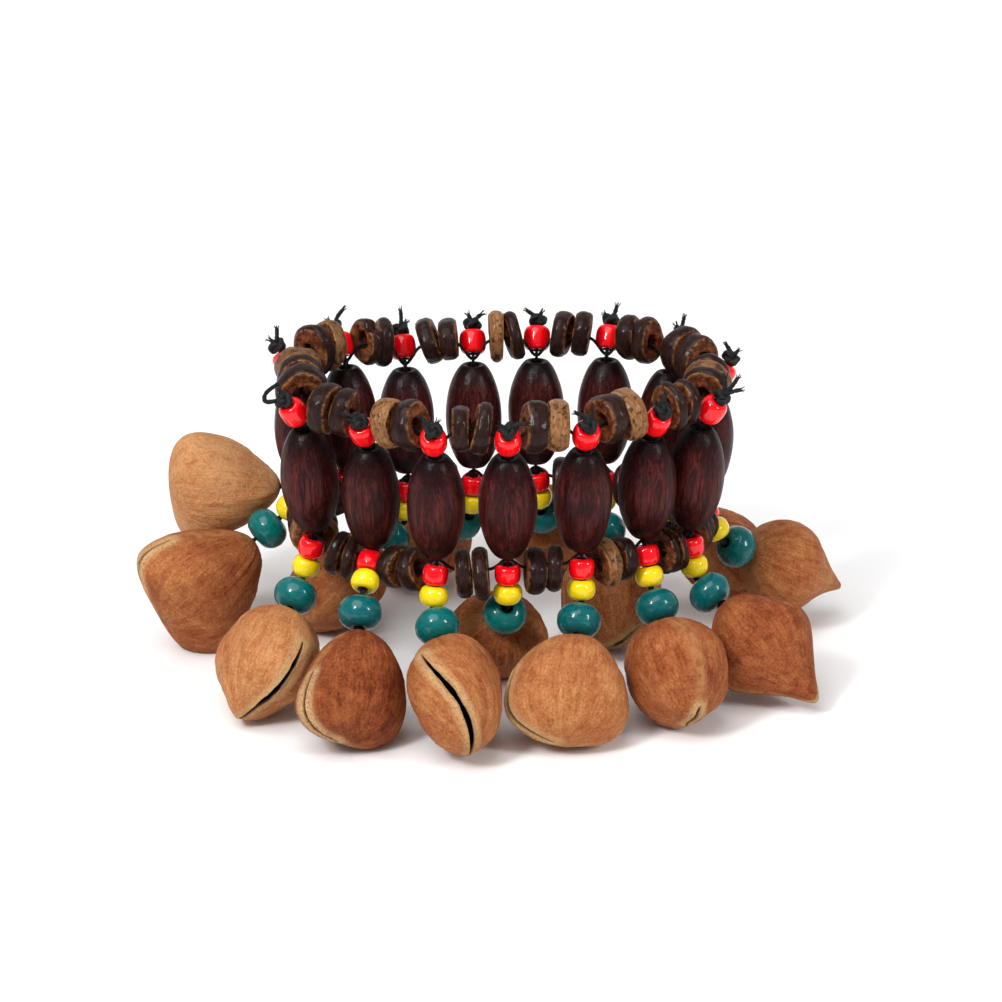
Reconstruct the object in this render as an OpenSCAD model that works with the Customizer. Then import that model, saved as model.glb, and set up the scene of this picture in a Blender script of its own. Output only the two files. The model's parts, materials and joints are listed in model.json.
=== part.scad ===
// Nutshell shaker bracelet: fifteen hanging strands on two elastic loops.
// Millimetres. Z is up, the bracelet stands on its shells at Z = 0.
// -Y is the front, azimuth 0 points to -Y and 90 to +X.

/* [Barrel beads] */
// Largest diameter of a barrel bead
barrel_d = 10.4; // [8:0.1:14]
// Length of a barrel bead
barrel_l = 19.8; // [14:0.1:28]
// Diameter of a barrel bead's ends
barrel_end_d = 4.2; // [3:0.1:7]
// Cord bore of a barrel bead
barrel_bore = 1.8; // [1.4:0.1:3]

/* [Small beads] */
// Diameter of the red bead above the barrel
red_top_d = 4.7; // [3:0.1:7]
// Height of the red bead above the barrel
red_top_h = 4.4; // [3:0.1:7]
// Diameter of the red bead below the barrel
red_low_d = 4.6; // [3:0.1:7]
// Height of the red bead below the barrel
red_low_h = 3.6; // [3:0.1:6]
// Diameter of the yellow bead
yellow_d = 5.2; // [3:0.1:7]
// Height of the yellow bead
yellow_h = 3.8; // [3:0.1:6]
// Diameter of the green wooden bead
green_d = 8; // [6:0.1:11]
// Height of the green wooden bead
green_h = 6; // [4:0.1:9]
// Cord bore of all small beads
bead_bore = 1.7; // [1.4:0.1:2.4]

/* [Coconut discs] */
// Mean diameter of the discs
disc_d = 8; // [6:0.1:10]
// Largest thickness of a disc
disc_t = 4; // [2:0.1:5]
// Bore of the discs
disc_bore = 3.8; // [2.4:0.1:4.4]
// How far a disc sits off the elastic's centre in its bore
disc_shift = 0.6; // [0:0.1:1]

/* [Cords] */
// Diameter of the two elastic loops
elastic_d = 0.6; // [0.6:0.1:1.2]
// Diameter of the strand cord inside the beads
cord_d = 1; // [0.6:0.1:1.2]
// Diameter of one ply of cord where it splits around an elastic
ply_d = 0.5; // [0.4:0.02:0.8]
// Diameter of a strand's knot above the upper red bead
knot_d = 2.8; // [2:0.1:4]
// Diameter of the end knot inside a shell
end_knot_d = 3; // [2.2:0.1:4]

/* [Nutshells] */
// Wall of a shell
shell_wall = 1.4; // [0.8:0.1:2.5]
// Cord hole in the top of a shell
shell_hole = 1.6; // [1.4:0.1:2.4]
// Half width of the seam ridge
seam_half = 0.3; // [0.1:0.05:0.6]
// Extra half width of the open slit at its middle
slit_half = 0.9; // [0.2:0.05:2]

/* [Layout] */
// Half length of the oval that the barrels stand on
oval_x = 38; // [30:0.5:45]
// Half depth of the oval
oval_y = 23; // [18:0.5:30]
// Squareness of the oval, 2 is an ellipse
oval_power = 2.5; // [2:0.1:4]
// Width of a gap with three discs against one with two
wide_gap = 1.4; // [1:0.1:1.6]
// Height of the shells' lowest points above the table
stand = 0.1; // [0:0.1:1]
// Shift of the oval along X that centres the part
ring_x = 1.4; // [-10:0.1:10]
// Shift of the oval along Y that centres the part
ring_y = 2.3; // [-10:0.1:10]
// Outward tilt of the barrels
barrel_tilt = 5; // [0:1:15]
// Outward lean of the upper red beads
top_lean = 35; // [0:1:70]
// How far the upper elastic rises between two strands
upper_arch = 3.4; // [0:0.1:5]
// How far the lower elastic dips between two strands
lower_dip = 2; // [0:0.1:5]

/* [Hidden] */
$fn = 48;
gap = 0.2;            // between beads that touch
pivot_gap = 0.7;      // from the bend of the cord to the bead on either side
eye_r = 0.66;         // centre line radius of the split cord around an elastic
eye_out = 1.05;       // from an elastic's centre to the next bead
eye_rise = 1.1;       // upper elastic above a barrel's end
level_from = 0.25;    // part of a gap after which an elastic runs level under the discs

shell_n = 24;         // steps round a shell's outline
out_rows = [1, 0.9, 0.72, 0.42];
in_rows = [1, 0.68];

// One row per strand, numbered from the front left round by the right:
// step along the oval and step inward from its even place,
// lean and azimuth of the red and yellow beads below the barrel,
// lean and azimuth of the hanging shell, turn of the shell on its cord,
// shell length, width, thickness, slit from and to (0 top, 90 right edge, 180 bottom),
// height of the barrel's centre where the shell hangs clear of the table, else 0,
// how much narrower the shell is at its top than at its bottom
strand = [
  [-2,  1, 15,  -85,  54,  -25,  35, 22,   21,   17,    75, 195, 0,  0.13],
  [-1,  4, 55,  -15,  45,   -6, -45, 22,   19.5, 16.5, 180, 285, 0,  0.25],
  [ 0,  0, 15,  -20,  60,   16,  95, 22.5, 21.5, 16.5,  60, 195, 0,  0.13],
  [ 0,  0,  0,    0, -46,   10,   5, 20,   19.5, 15.5, 120, 195, 0,  0.13],
  [ 1,  2, 10,    0,  52,  -10, -25, 21.5, 22,   17,   180, 285, 0,  0.15],
  [ 3,  5, 20,   27,  55,   18,  85, 20.5, 20,   18,   150, 195, 0,  0.13],
  [ 3,  2, 10,   60,  60,   50,  35, 22.5, 21,   17.5, 165, 195, 0,  0.25],
  [ 0,  0, 30,   70,  60,  120,  60, 21.5, 18.5, 16,   150, 210, 40, 0.2],
  [ 0, -1,  5,  125,  54,  125,  25, 21,   19,   16,   105, 195, 0,  0.13],
  [-1, -1, -5,  180, -54,  185,  40, 21,   20,   16,   150, 210, 0,  0.13],
  [-1,  0, 10,  150,  53,  170,   0, 21,   20,   16.5, 105, 195, 0,  0.13],
  [-2,  1,  5, -140,  54, -140,   0, 21,   20,   16,   165, 255, 0,  0.13],
  [-2,  1,  5,  -60,  57,  -60,  25, 21,   19.5, 16,   165, 240, 0,  0.13],
  [-3,  1, 60, -125,  90,  -90,  90, 21.5, 19,   16,   240, 285, 41, 0.3],
  [-4,  0, 40, -120,  56,  -65,  90, 23.5, 23,   17,    90, 150, 0,  0.3]
];
n_strand = len(strand);

// Discs between one strand and the next, on the upper and on the lower elastic
upper_discs = [2, 2, 2, 2, 2, 2, 3, 2, 2, 2, 2, 2, 2, 2, 3];
lower_discs = [2, 2, 2, 2, 2, 2, 3, 2, 2, 2, 2, 2, 2, 1, 3];

function up_dir(lean, az) = [sin(lean) * sin(az), -sin(lean) * cos(az), cos(lean)];
function dn_dir(lean, az) = [sin(lean) * sin(az), -sin(lean) * cos(az), -cos(lean)];
function unit(v) = v / norm(v);
function wave(a) = sin(a * 137.5) ;

// ---- the oval, walked from the front at an even pace, with wider gaps where three discs sit
oval_n = 240;
function flat(v) = sign(v) * pow(abs(v), 2 / oval_power);
oval = [for (i = [0 : oval_n]) [oval_x * flat(sin(i * 360 / oval_n)), -oval_y * flat(cos(i * 360 / oval_n))]];
walked = [for (i = 0, d = 0; i <= oval_n; d = d + norm(oval[min(i + 1, oval_n)] - oval[i]), i = i + 1) d];
function gap_w(k) = upper_discs[k] > 2 ? wide_gap : 1;
function gaps_to(k) = k == 0 ? 0 : gaps_to(k - 1) + gap_w(k - 1);
pace = walked[oval_n] / gaps_to(n_strand);
function place(k) = let (d = (gaps_to(k) - gaps_to(3)) * pace + 1 + strand[k][0]) d < 0 ? d + walked[oval_n] : d;
function step_i(d) = max([for (i = [0 : oval_n - 1]) if (walked[i] <= d) i]);
function oval_at(d) = let (i = step_i(d)) oval[i] + (oval[i + 1] - oval[i]) * (d - walked[i]) / (walked[i + 1] - walked[i]);
function oval_out(d) = let (v = oval_at(d + 2 > walked[oval_n] ? d : d + 2) - oval_at(d < 2 ? d : d - 2)) atan2(v[1], v[0]);
out = [for (k = [0 : n_strand - 1]) oval_out(place(k))];
spot = [for (k = [0 : n_strand - 1]) oval_at(place(k)) - strand[k][1] * [sin(out[k]), -cos(out[k])]];

// ---- height: how far each strand reaches below its barrel's centre, so that its shell stands on the table
function shell_reach(r) = max([for (s = concat(out_rows, 0), j = [0 : shell_n - 1], side = [1, -1])
  let (p = shell_pt(j * 360 / shell_n, s, side, r, 0))
  (p[1] * cos(r[6]) - p[0] * sin(r[6])) * sin(r[4]) - p[2] * cos(r[4])]);
function reach(r) = (barrel_l / 2 + eye_out) * cos(barrel_tilt)
  + (eye_out + red_low_h + gap + yellow_h + pivot_gap) * cos(r[2])
  + (pivot_gap + green_h + 0.35) * cos(r[4]) + shell_reach(r);
high = [for (r = strand) r[12] > 0 ? r[12] : reach(r) + stand];

function barrel_c(k) = [spot[k][0] + ring_x, spot[k][1] + ring_y, high[k]];
function barrel_up(k) = up_dir(barrel_tilt, out[k]);
function barrel_top(k) = barrel_c(k) + barrel_up(k) * barrel_l / 2;
function barrel_foot(k) = barrel_c(k) - barrel_up(k) * barrel_l / 2;
function upper_eye(k) = barrel_top(k) + barrel_up(k) * eye_rise;
function lower_eye(k) = barrel_foot(k) - barrel_up(k) * eye_out;
function top_dir(k) = up_dir(top_lean, out[k]);
function low_dir(k) = dn_dir(strand[k][2], strand[k][3]);
function drop_dir(k) = dn_dir(strand[k][4], strand[k][5]);
function top_red_c(k) = upper_eye(k) + top_dir(k) * (eye_out + red_top_h / 2);
function knot_base(k) = upper_eye(k) + top_dir(k) * (eye_out + red_top_h + 0.1);
function low_red_c(k) = lower_eye(k) + low_dir(k) * (eye_out + red_low_h / 2);
function yellow_c(k) = low_red_c(k) + low_dir(k) * (red_low_h / 2 + yellow_h / 2 + gap);
function pivot(k) = yellow_c(k) + low_dir(k) * (yellow_h / 2 + pivot_gap);
function green_c(k) = pivot(k) + drop_dir(k) * (pivot_gap + green_h / 2);
function shell_top(k) = green_c(k) + drop_dir(k) * (green_h / 2 + 0.35);

// Turns -Z to a hanging direction, or Z to a rising one, with X along the ring
module hang(lean, az) rotate([-lean, 0, az]) children();
module rise(lean, az) rotate([lean, 0, az]) children();

// ---- elastic loops: closed smooth curves through the strands, raised or lowered where the discs ride between them
function loop_pt(i, hi) =
  let (k = floor(i / 3) % n_strand, m = (k + 1) % n_strand, f = i % 3 == 1 ? level_from : 1 - level_from,
       a = hi ? upper_eye(k) : lower_eye(k), b = hi ? upper_eye(m) : lower_eye(m))
  i % 3 == 0 ? a : a * (1 - f) + b * f + [0, 0, hi ? upper_arch : -lower_dip];
function loop_at(s, hi) =
  let (n = 3 * n_strand, i = floor(s), f = s - i,
       p0 = loop_pt((i + n - 1) % n, hi), p1 = loop_pt(i % n, hi),
       p2 = loop_pt((i + 1) % n, hi), p3 = loop_pt((i + 2) % n, hi))
  0.5 * (2 * p1 + (p2 - p0) * f + (2 * p0 - 5 * p1 + 4 * p2 - p3) * f * f
         + (3 * p1 - p0 - 3 * p2 + p3) * f * f * f);
function loop_dir(s, hi) = unit(loop_at(s + 0.02, hi) - loop_at(s + 3 * n_strand - 0.02, hi));

loop_steps = 2;
loop_sides = 8;
module elastic_loop(hi) {
  rings = 3 * n_strand * loop_steps;
  pts = [for (i = [0 : rings - 1])
    let (s = i / loop_steps, p = loop_at(s, hi), t = loop_dir(s, hi),
         o = unit(cross(t, [0, 0, 1])), u = cross(o, t))
    for (j = [0 : loop_sides - 1])
      p + elastic_d / 2 * (cos(j * 360 / loop_sides) * o + sin(j * 360 / loop_sides) * u)];
  faces = [for (i = [0 : rings - 1], j = [0 : loop_sides - 1])
    let (a = i * loop_sides + j, b = i * loop_sides + (j + 1) % loop_sides,
         c = ((i + 1) % rings) * loop_sides + (j + 1) % loop_sides,
         d = ((i + 1) % rings) * loop_sides + j)
    each [[a, c, b], [a, d, c]]];
  polyhedron(pts, faces);
}

// ---- beads, on their bore's axis along Z, centred on the origin
module round_bead(d, h) {
  difference() {
    rotate_extrude()
      intersection() {
        translate([d / 2 - h / 2, 0]) circle(d = h);
        translate([0, -h]) square([d, 2 * h]);
      }
    cylinder(d = bead_bore, h = 2 * h, center = true);
  }
}
function barrel_r(f) = barrel_end_d / 2 + (barrel_d - barrel_end_d) / 2 * pow(1 - pow(abs(f), 2), 0.74);
module barrel() {
  n = 9;
  difference() {
    rotate_extrude()
      polygon(concat([[0, -barrel_l / 2]],
        [for (i = [-n : n]) [barrel_r(sin(90 * i / n)), barrel_l / 2 * sin(90 * i / n)]],
        [[0, barrel_l / 2]]));
    cylinder(d = barrel_bore, h = barrel_l + 2, center = true);
  }
}

// ---- coconut discs of one gap
module gap_discs(k, count, hi) {
  a = hi ? upper_eye(k) : lower_eye(k);
  m = (k + 1) % n_strand;
  b = hi ? upper_eye(m) : lower_eye(m);
  run = norm(b - a);
  room = run - red_top_d - (hi ? 1.4 : 2.2);
  t = min(disc_t, room / count - 0.35);
  for (i = [0 : count - 1]) {
    s = 3 * k + 1.5 + (i - (count - 1) / 2) * (t + 0.35) / run / (1 - 2 * level_from);
    p = loop_at(s, hi);
    v = b - a;
    az = atan2(v[1], v[0]);
    d = disc_d * ((hi ? 1 : 0.96) + 0.05 * wave(7 * k + 3 * i + (hi ? 1 : 2)));
    translate(p + [0, 0, hi ? disc_shift : -disc_shift])
      rotate([0, 90 - asin(v[2] / run) + 5 * wave(2 * k + (hi ? 5 : 3)), az + 4 * wave(k + (hi ? 4 : 9))])
        difference() {
          cylinder(d = d, h = t, center = true);
          cylinder(d = disc_bore, h = t + 2, center = true);
        }
  }
}

// ---- strand cord with a split eye around each elastic
module cord_between(lean, az, from, length) {
  translate(from) rise(lean, az) cylinder(d = cord_d, h = length);
}
module eye(p, az) {
  translate(p) rotate([0, 0, az]) rotate([0, 90, 0]) difference() {
    cylinder(r = eye_r + ply_d / 2, h = ply_d, center = true);
    cylinder(r = eye_r - ply_d / 2, h = 2, center = true);
  }
}
module strand_cord(k) {
  union() {
    cord_between(top_lean, out[k], upper_eye(k) + top_dir(k) * eye_r, eye_out - eye_r + red_top_h + 0.05);
    eye(upper_eye(k), out[k]);
    cord_between(barrel_tilt, out[k], lower_eye(k) + barrel_up(k) * eye_r,
      norm(upper_eye(k) - lower_eye(k)) - 2 * eye_r);
    eye(lower_eye(k), out[k]);
    translate(lower_eye(k)) hang(strand[k][2], strand[k][3])
      translate([0, 0, -(eye_out + red_low_h + gap + yellow_h + pivot_gap)])
        cylinder(d = cord_d, h = eye_out + red_low_h + gap + yellow_h + pivot_gap - eye_r);
    // the bend: a short round across the swing's axis
    translate(pivot(k)) rotate([0, 0, strand[k][5]]) rotate([0, 90, 0])
      cylinder(d = cord_d * 0.8, h = cord_d * 1.3, center = true);
  }
}
module top_knot(k) {
  w = wave(k + 3);
  translate(knot_base(k)) rise(top_lean, out[k]) difference() {
    union() {
      translate([0, 0, knot_d * 0.42]) sphere(d = knot_d);
      translate([0.3 * w, 0, knot_d * 0.7]) rotate([35 * w, 30 + 20 * wave(k + 1), 0]) cylinder(d = cord_d, h = 3.2);
      translate([-0.3 * w, 0.2, knot_d * 0.6]) rotate([-30, -35 * w, 0]) cylinder(d = cord_d, h = 2.6);
    }
    translate([0, 0, -5]) cube(10, center = true);
  }
}

// ---- hanging cord below the bend, with the knot inside the shell
module drop_cord(k) {
  drop = pivot_gap + green_h + 0.35;
  translate(pivot(k)) hang(strand[k][4], strand[k][5]) difference() {
    union() {
      translate([0, 0, -(drop + shell_wall + 0.3 + end_knot_d / 2)])
        cylinder(d = cord_d, h = drop + shell_wall + 0.3 + end_knot_d / 2 - 0.3);
      translate([0, 0, -(drop + shell_wall + 0.4 + end_knot_d / 2)]) sphere(d = end_knot_d);
    }
    rotate([0, 90, 0]) cylinder(d = cord_d + 0.5, h = 4, center = true);
  }
}

// ---- nutshell: two valves grown together, thin wall, slit mouth along part of the seam
function shell_edge(t, r) = [r[8] / 2 * sin(t) * (1 - r[13] * cos(t)), r[7] / 2 * (1 - cos(t))];
function slit_w(t, a, b) = t < a || t > b ? seam_half : seam_half + slit_half * sin(180 * (t - a) / (b - a));
function shell_pt(t, s, side, r, inset) =
  let (c = [0, 0.46 * r[7]], e = shell_edge(t, r) - c,
       f = s * (1 - inset / norm(e)), p = c + e * f, w = slit_w(t, r[10], r[11]),
       v = s == 1 ? w : max((r[9] / 2 - inset) * pow(1 - pow(s, 2.4), 1 / (1.75 + 0.25 * cos(t))), w))
  [p[0], -side * v, -p[1]];
module shell_body(r) {
  n = shell_n; o = len(out_rows); q = len(in_rows);
  l = r[7]; th = r[9]; a = r[10]; b = r[11];
  pts = concat(
    [for (s = out_rows, j = [0 : n - 1]) shell_pt(j * 360 / n, s, 1, r, 0)], [[0, -th / 2, -0.46 * l]],
    [for (s = out_rows, j = [0 : n - 1]) shell_pt(j * 360 / n, s, -1, r, 0)], [[0, th / 2, -0.46 * l]],
    [for (s = in_rows, j = [0 : n - 1]) shell_pt(j * 360 / n, s, 1, r, shell_wall)], [[0, shell_wall - th / 2, -0.46 * l]],
    [for (s = in_rows, j = [0 : n - 1]) shell_pt(j * 360 / n, s, -1, r, shell_wall)], [[0, th / 2 - shell_wall, -0.46 * l]]);
  fo = 0; bo = o * n + 1; fi = 2 * bo; bi = fi + q * n + 1;
  faces = concat(
    valve(fo, o, true), valve(bo, o, false), valve(fi, q, false), valve(bi, q, true),
    [for (j = [0 : n - 1]) let (m = (j + 1) % n, t = (j + 0.5) * 360 / n, open = t > a && t < b)
      each open
        ? concat(quad(fo + j, fo + m, fi + m, fi + j), quad(bo + m, bo + j, bi + j, bi + m))
        : concat(quad(fo + j, fo + m, bo + m, bo + j), quad(fi + m, fi + j, bi + j, bi + m))],
    [for (j = [0 : n - 1]) let (t = j * 360 / n)
      each t == a ? quad(fo + j, fi + j, bi + j, bo + j) : t == b ? quad(fo + j, bo + j, bi + j, fi + j) : []]);
  polyhedron(pts, faces);
}
function quad(a, b, c, d) = [[a, b, c], [a, c, d]];
function flip(f, yes) = yes ? f : [for (t = f) [t[2], t[1], t[0]]];
function valve(base, rows, front) = flip(concat(
  [for (r = [0 : rows - 2], j = [0 : shell_n - 1]) let (m = (j + 1) % shell_n)
    each quad(base + r * shell_n + m, base + r * shell_n + j, base + (r + 1) * shell_n + j, base + (r + 1) * shell_n + m)],
  [for (j = [0 : shell_n - 1]) let (m = (j + 1) % shell_n)
    [base + (rows - 1) * shell_n + m, base + (rows - 1) * shell_n + j, base + rows * shell_n]]), front);
module shell(k) {
  r = strand[k];
  translate(shell_top(k)) hang(r[4], r[5]) rotate([0, 0, -r[6]]) difference() {
    shell_body(r);
    translate([0, 0, -shell_wall - 2]) cylinder(d = shell_hole, h = shell_wall + 4);
  }
}
module green(k) translate(green_c(k)) hang(strand[k][4], strand[k][5]) round_bead(green_d, green_h);

// ---- sub-parts
module upper_elastic() color([0.1, 0.1, 0.1]) elastic_loop(true);
module lower_elastic() color([0.1, 0.1, 0.1]) elastic_loop(false);
module barrel_beads() color([0.25, 0.1, 0.09])
  for (k = [0 : n_strand - 1]) translate(barrel_c(k)) rise(barrel_tilt, out[k]) barrel();
module top_red_beads() color([0.85, 0.05, 0.08])
  for (k = [0 : n_strand - 1]) translate(top_red_c(k)) rise(top_lean, out[k]) round_bead(red_top_d, red_top_h);
module lower_red_beads() color([0.85, 0.05, 0.08])
  for (k = [0 : n_strand - 1]) translate(low_red_c(k)) hang(strand[k][2], strand[k][3]) round_bead(red_low_d, red_low_h);
module yellow_beads() color([0.92, 0.82, 0.15])
  for (k = [0 : n_strand - 1]) translate(yellow_c(k)) hang(strand[k][2], strand[k][3]) round_bead(yellow_d, yellow_h);
module upper_coco_discs() color([0.3, 0.2, 0.15])
  for (k = [0 : n_strand - 1]) gap_discs(k, upper_discs[k], true);
module lower_coco_discs() color([0.3, 0.2, 0.15])
  for (k = [0 : n_strand - 1]) gap_discs(k, lower_discs[k], false);
module strand_cords() color([0.06, 0.06, 0.07])
  for (k = [0 : n_strand - 1]) strand_cord(k);
module top_knots() color([0.06, 0.06, 0.07])
  for (k = [0 : n_strand - 1]) top_knot(k);

module nutshell_01() color([0.7, 0.47, 0.3]) shell(0);
module nutshell_02() color([0.7, 0.47, 0.3]) shell(1);
module nutshell_03() color([0.7, 0.47, 0.3]) shell(2);
module nutshell_04() color([0.7, 0.47, 0.3]) shell(3);
module nutshell_05() color([0.7, 0.47, 0.3]) shell(4);
module nutshell_06() color([0.7, 0.47, 0.3]) shell(5);
module nutshell_07() color([0.7, 0.47, 0.3]) shell(6);
module nutshell_08() color([0.7, 0.47, 0.3]) shell(7);
module nutshell_09() color([0.7, 0.47, 0.3]) shell(8);
module nutshell_10() color([0.7, 0.47, 0.3]) shell(9);
module nutshell_11() color([0.7, 0.47, 0.3]) shell(10);
module nutshell_12() color([0.7, 0.47, 0.3]) shell(11);
module nutshell_13() color([0.7, 0.47, 0.3]) shell(12);
module nutshell_14() color([0.7, 0.47, 0.3]) shell(13);
module nutshell_15() color([0.7, 0.47, 0.3]) shell(14);

module green_bead_01() color([0, 0.42, 0.38]) green(0);
module green_bead_02() color([0, 0.42, 0.38]) green(1);
module green_bead_03() color([0, 0.42, 0.38]) green(2);
module green_bead_04() color([0, 0.42, 0.38]) green(3);
module green_bead_05() color([0, 0.42, 0.38]) green(4);
module green_bead_06() color([0, 0.42, 0.38]) green(5);
module green_bead_07() color([0, 0.42, 0.38]) green(6);
module green_bead_08() color([0, 0.42, 0.38]) green(7);
module green_bead_09() color([0, 0.42, 0.38]) green(8);
module green_bead_10() color([0, 0.42, 0.38]) green(9);
module green_bead_11() color([0, 0.42, 0.38]) green(10);
module green_bead_12() color([0, 0.42, 0.38]) green(11);
module green_bead_13() color([0, 0.42, 0.38]) green(12);
module green_bead_14() color([0, 0.42, 0.38]) green(13);
module green_bead_15() color([0, 0.42, 0.38]) green(14);

module drop_cord_01() color([0.06, 0.06, 0.07]) drop_cord(0);
module drop_cord_02() color([0.06, 0.06, 0.07]) drop_cord(1);
module drop_cord_03() color([0.06, 0.06, 0.07]) drop_cord(2);
module drop_cord_04() color([0.06, 0.06, 0.07]) drop_cord(3);
module drop_cord_05() color([0.06, 0.06, 0.07]) drop_cord(4);
module drop_cord_06() color([0.06, 0.06, 0.07]) drop_cord(5);
module drop_cord_07() color([0.06, 0.06, 0.07]) drop_cord(6);
module drop_cord_08() color([0.06, 0.06, 0.07]) drop_cord(7);
module drop_cord_09() color([0.06, 0.06, 0.07]) drop_cord(8);
module drop_cord_10() color([0.06, 0.06, 0.07]) drop_cord(9);
module drop_cord_11() color([0.06, 0.06, 0.07]) drop_cord(10);
module drop_cord_12() color([0.06, 0.06, 0.07]) drop_cord(11);
module drop_cord_13() color([0.06, 0.06, 0.07]) drop_cord(12);
module drop_cord_14() color([0.06, 0.06, 0.07]) drop_cord(13);
module drop_cord_15() color([0.06, 0.06, 0.07]) drop_cord(14);

upper_elastic();
lower_elastic();
barrel_beads();
top_red_beads();
lower_red_beads();
yellow_beads();
upper_coco_discs();
lower_coco_discs();
strand_cords();
top_knots();
nutshell_01();
nutshell_02();
nutshell_03();
nutshell_04();
nutshell_05();
nutshell_06();
nutshell_07();
nutshell_08();
nutshell_09();
nutshell_10();
nutshell_11();
nutshell_12();
nutshell_13();
nutshell_14();
nutshell_15();
green_bead_01();
green_bead_02();
green_bead_03();
green_bead_04();
green_bead_05();
green_bead_06();
green_bead_07();
green_bead_08();
green_bead_09();
green_bead_10();
green_bead_11();
green_bead_12();
green_bead_13();
green_bead_14();
green_bead_15();
drop_cord_01();
drop_cord_02();
drop_cord_03();
drop_cord_04();
drop_cord_05();
drop_cord_06();
drop_cord_07();
drop_cord_08();
drop_cord_09();
drop_cord_10();
drop_cord_11();
drop_cord_12();
drop_cord_13();
drop_cord_14();
drop_cord_15();
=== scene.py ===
import json
import math

import bpy
import numpy as np
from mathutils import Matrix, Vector


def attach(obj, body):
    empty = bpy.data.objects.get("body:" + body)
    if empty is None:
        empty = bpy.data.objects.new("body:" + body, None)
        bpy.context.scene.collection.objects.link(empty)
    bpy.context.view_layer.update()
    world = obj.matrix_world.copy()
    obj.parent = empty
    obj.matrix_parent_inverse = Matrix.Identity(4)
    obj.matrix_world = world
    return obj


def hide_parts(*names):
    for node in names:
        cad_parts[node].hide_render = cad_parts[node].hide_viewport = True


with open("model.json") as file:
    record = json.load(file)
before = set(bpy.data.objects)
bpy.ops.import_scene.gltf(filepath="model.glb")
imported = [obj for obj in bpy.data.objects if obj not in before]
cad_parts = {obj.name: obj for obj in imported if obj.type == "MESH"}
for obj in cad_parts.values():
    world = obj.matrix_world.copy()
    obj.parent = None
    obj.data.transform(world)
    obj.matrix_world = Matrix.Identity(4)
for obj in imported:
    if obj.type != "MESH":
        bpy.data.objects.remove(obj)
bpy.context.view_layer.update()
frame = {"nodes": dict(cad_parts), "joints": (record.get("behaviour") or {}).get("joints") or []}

MM = 0.001
TAU = 2 * math.pi

# --------------------------------------------------------------------------
# small numeric tools
# --------------------------------------------------------------------------


def unit(v):
    v = np.asarray(v, float)
    return v / np.linalg.norm(v)


def sm(x, a, b):
    """Smooth step from 0 at a to 1 at b."""
    t = np.clip((np.asarray(x, float) - a) / (b - a), 0, 1)
    return t * t * (3 - 2 * t)


def hash3(i, seed):
    h = (i[..., 0] * 374761393 + i[..., 1] * 668265263 + i[..., 2] * 2147483647 + seed * 1274126177) & 0xFFFFFFFF
    h = ((h ^ (h >> 13)) * 1274126177) & 0xFFFFFFFF
    h = ((h ^ (h >> 16)) * 2246822519) & 0xFFFFFFFF
    return ((h ^ (h >> 15)) & 0xFFFFFF) / float(0xFFFFFF) * 2 - 1


def noise(p, seed=0):
    """Smooth value noise in -1..1 at points p (n, 3), one lump per unit."""
    p = np.asarray(p, float)
    i = np.floor(p).astype(np.int64)
    f = p - i
    w = f * f * f * (f * (f * 6 - 15) + 10)
    out = np.zeros(len(p))
    for dx in (0, 1):
        for dy in (0, 1):
            for dz in (0, 1):
                c = hash3(i + np.array([dx, dy, dz]), seed)
                out += c * (w[:, 0] if dx else 1 - w[:, 0]) * (w[:, 1] if dy else 1 - w[:, 1]) * (w[:, 2] if dz else 1 - w[:, 2])
    return out


def rnd(k, seed=0):
    """A fixed number in 0..1 for a piece."""
    return float((hash3(np.array([[k * 7 + 3, k * 13 + 5, 11]]), seed)[0] + 1) / 2)


def axes_for(a, hint=(0.31, 0.17, 0.93)):
    a = unit(a)
    h = np.asarray(hint, float)
    if abs(np.dot(a, unit(h))) > 0.95:
        h = np.array([1.0, 0.2, 0.0])
    x = unit(np.cross(h, a))
    return x, np.cross(a, x), a


def catmull(points, closed, steps):
    P = np.asarray(points, float)
    n = len(P)
    out = []
    spans = n if closed else n - 1
    for i in range(spans):
        if closed:
            p0, p1, p2, p3 = P[(i - 1) % n], P[i], P[(i + 1) % n], P[(i + 2) % n]
        else:
            p0, p1, p2, p3 = P[max(i - 1, 0)], P[i], P[i + 1], P[min(i + 2, n - 1)]
        for s in range(steps):
            f = s / steps
            out.append(0.5 * (2 * p1 + (p2 - p0) * f + (2 * p0 - 5 * p1 + 4 * p2 - p3) * f * f + (3 * p1 - p0 - 3 * p2 + p3) * f ** 3))
    if not closed:
        out.append(P[-1])
    return np.array(out)


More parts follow.
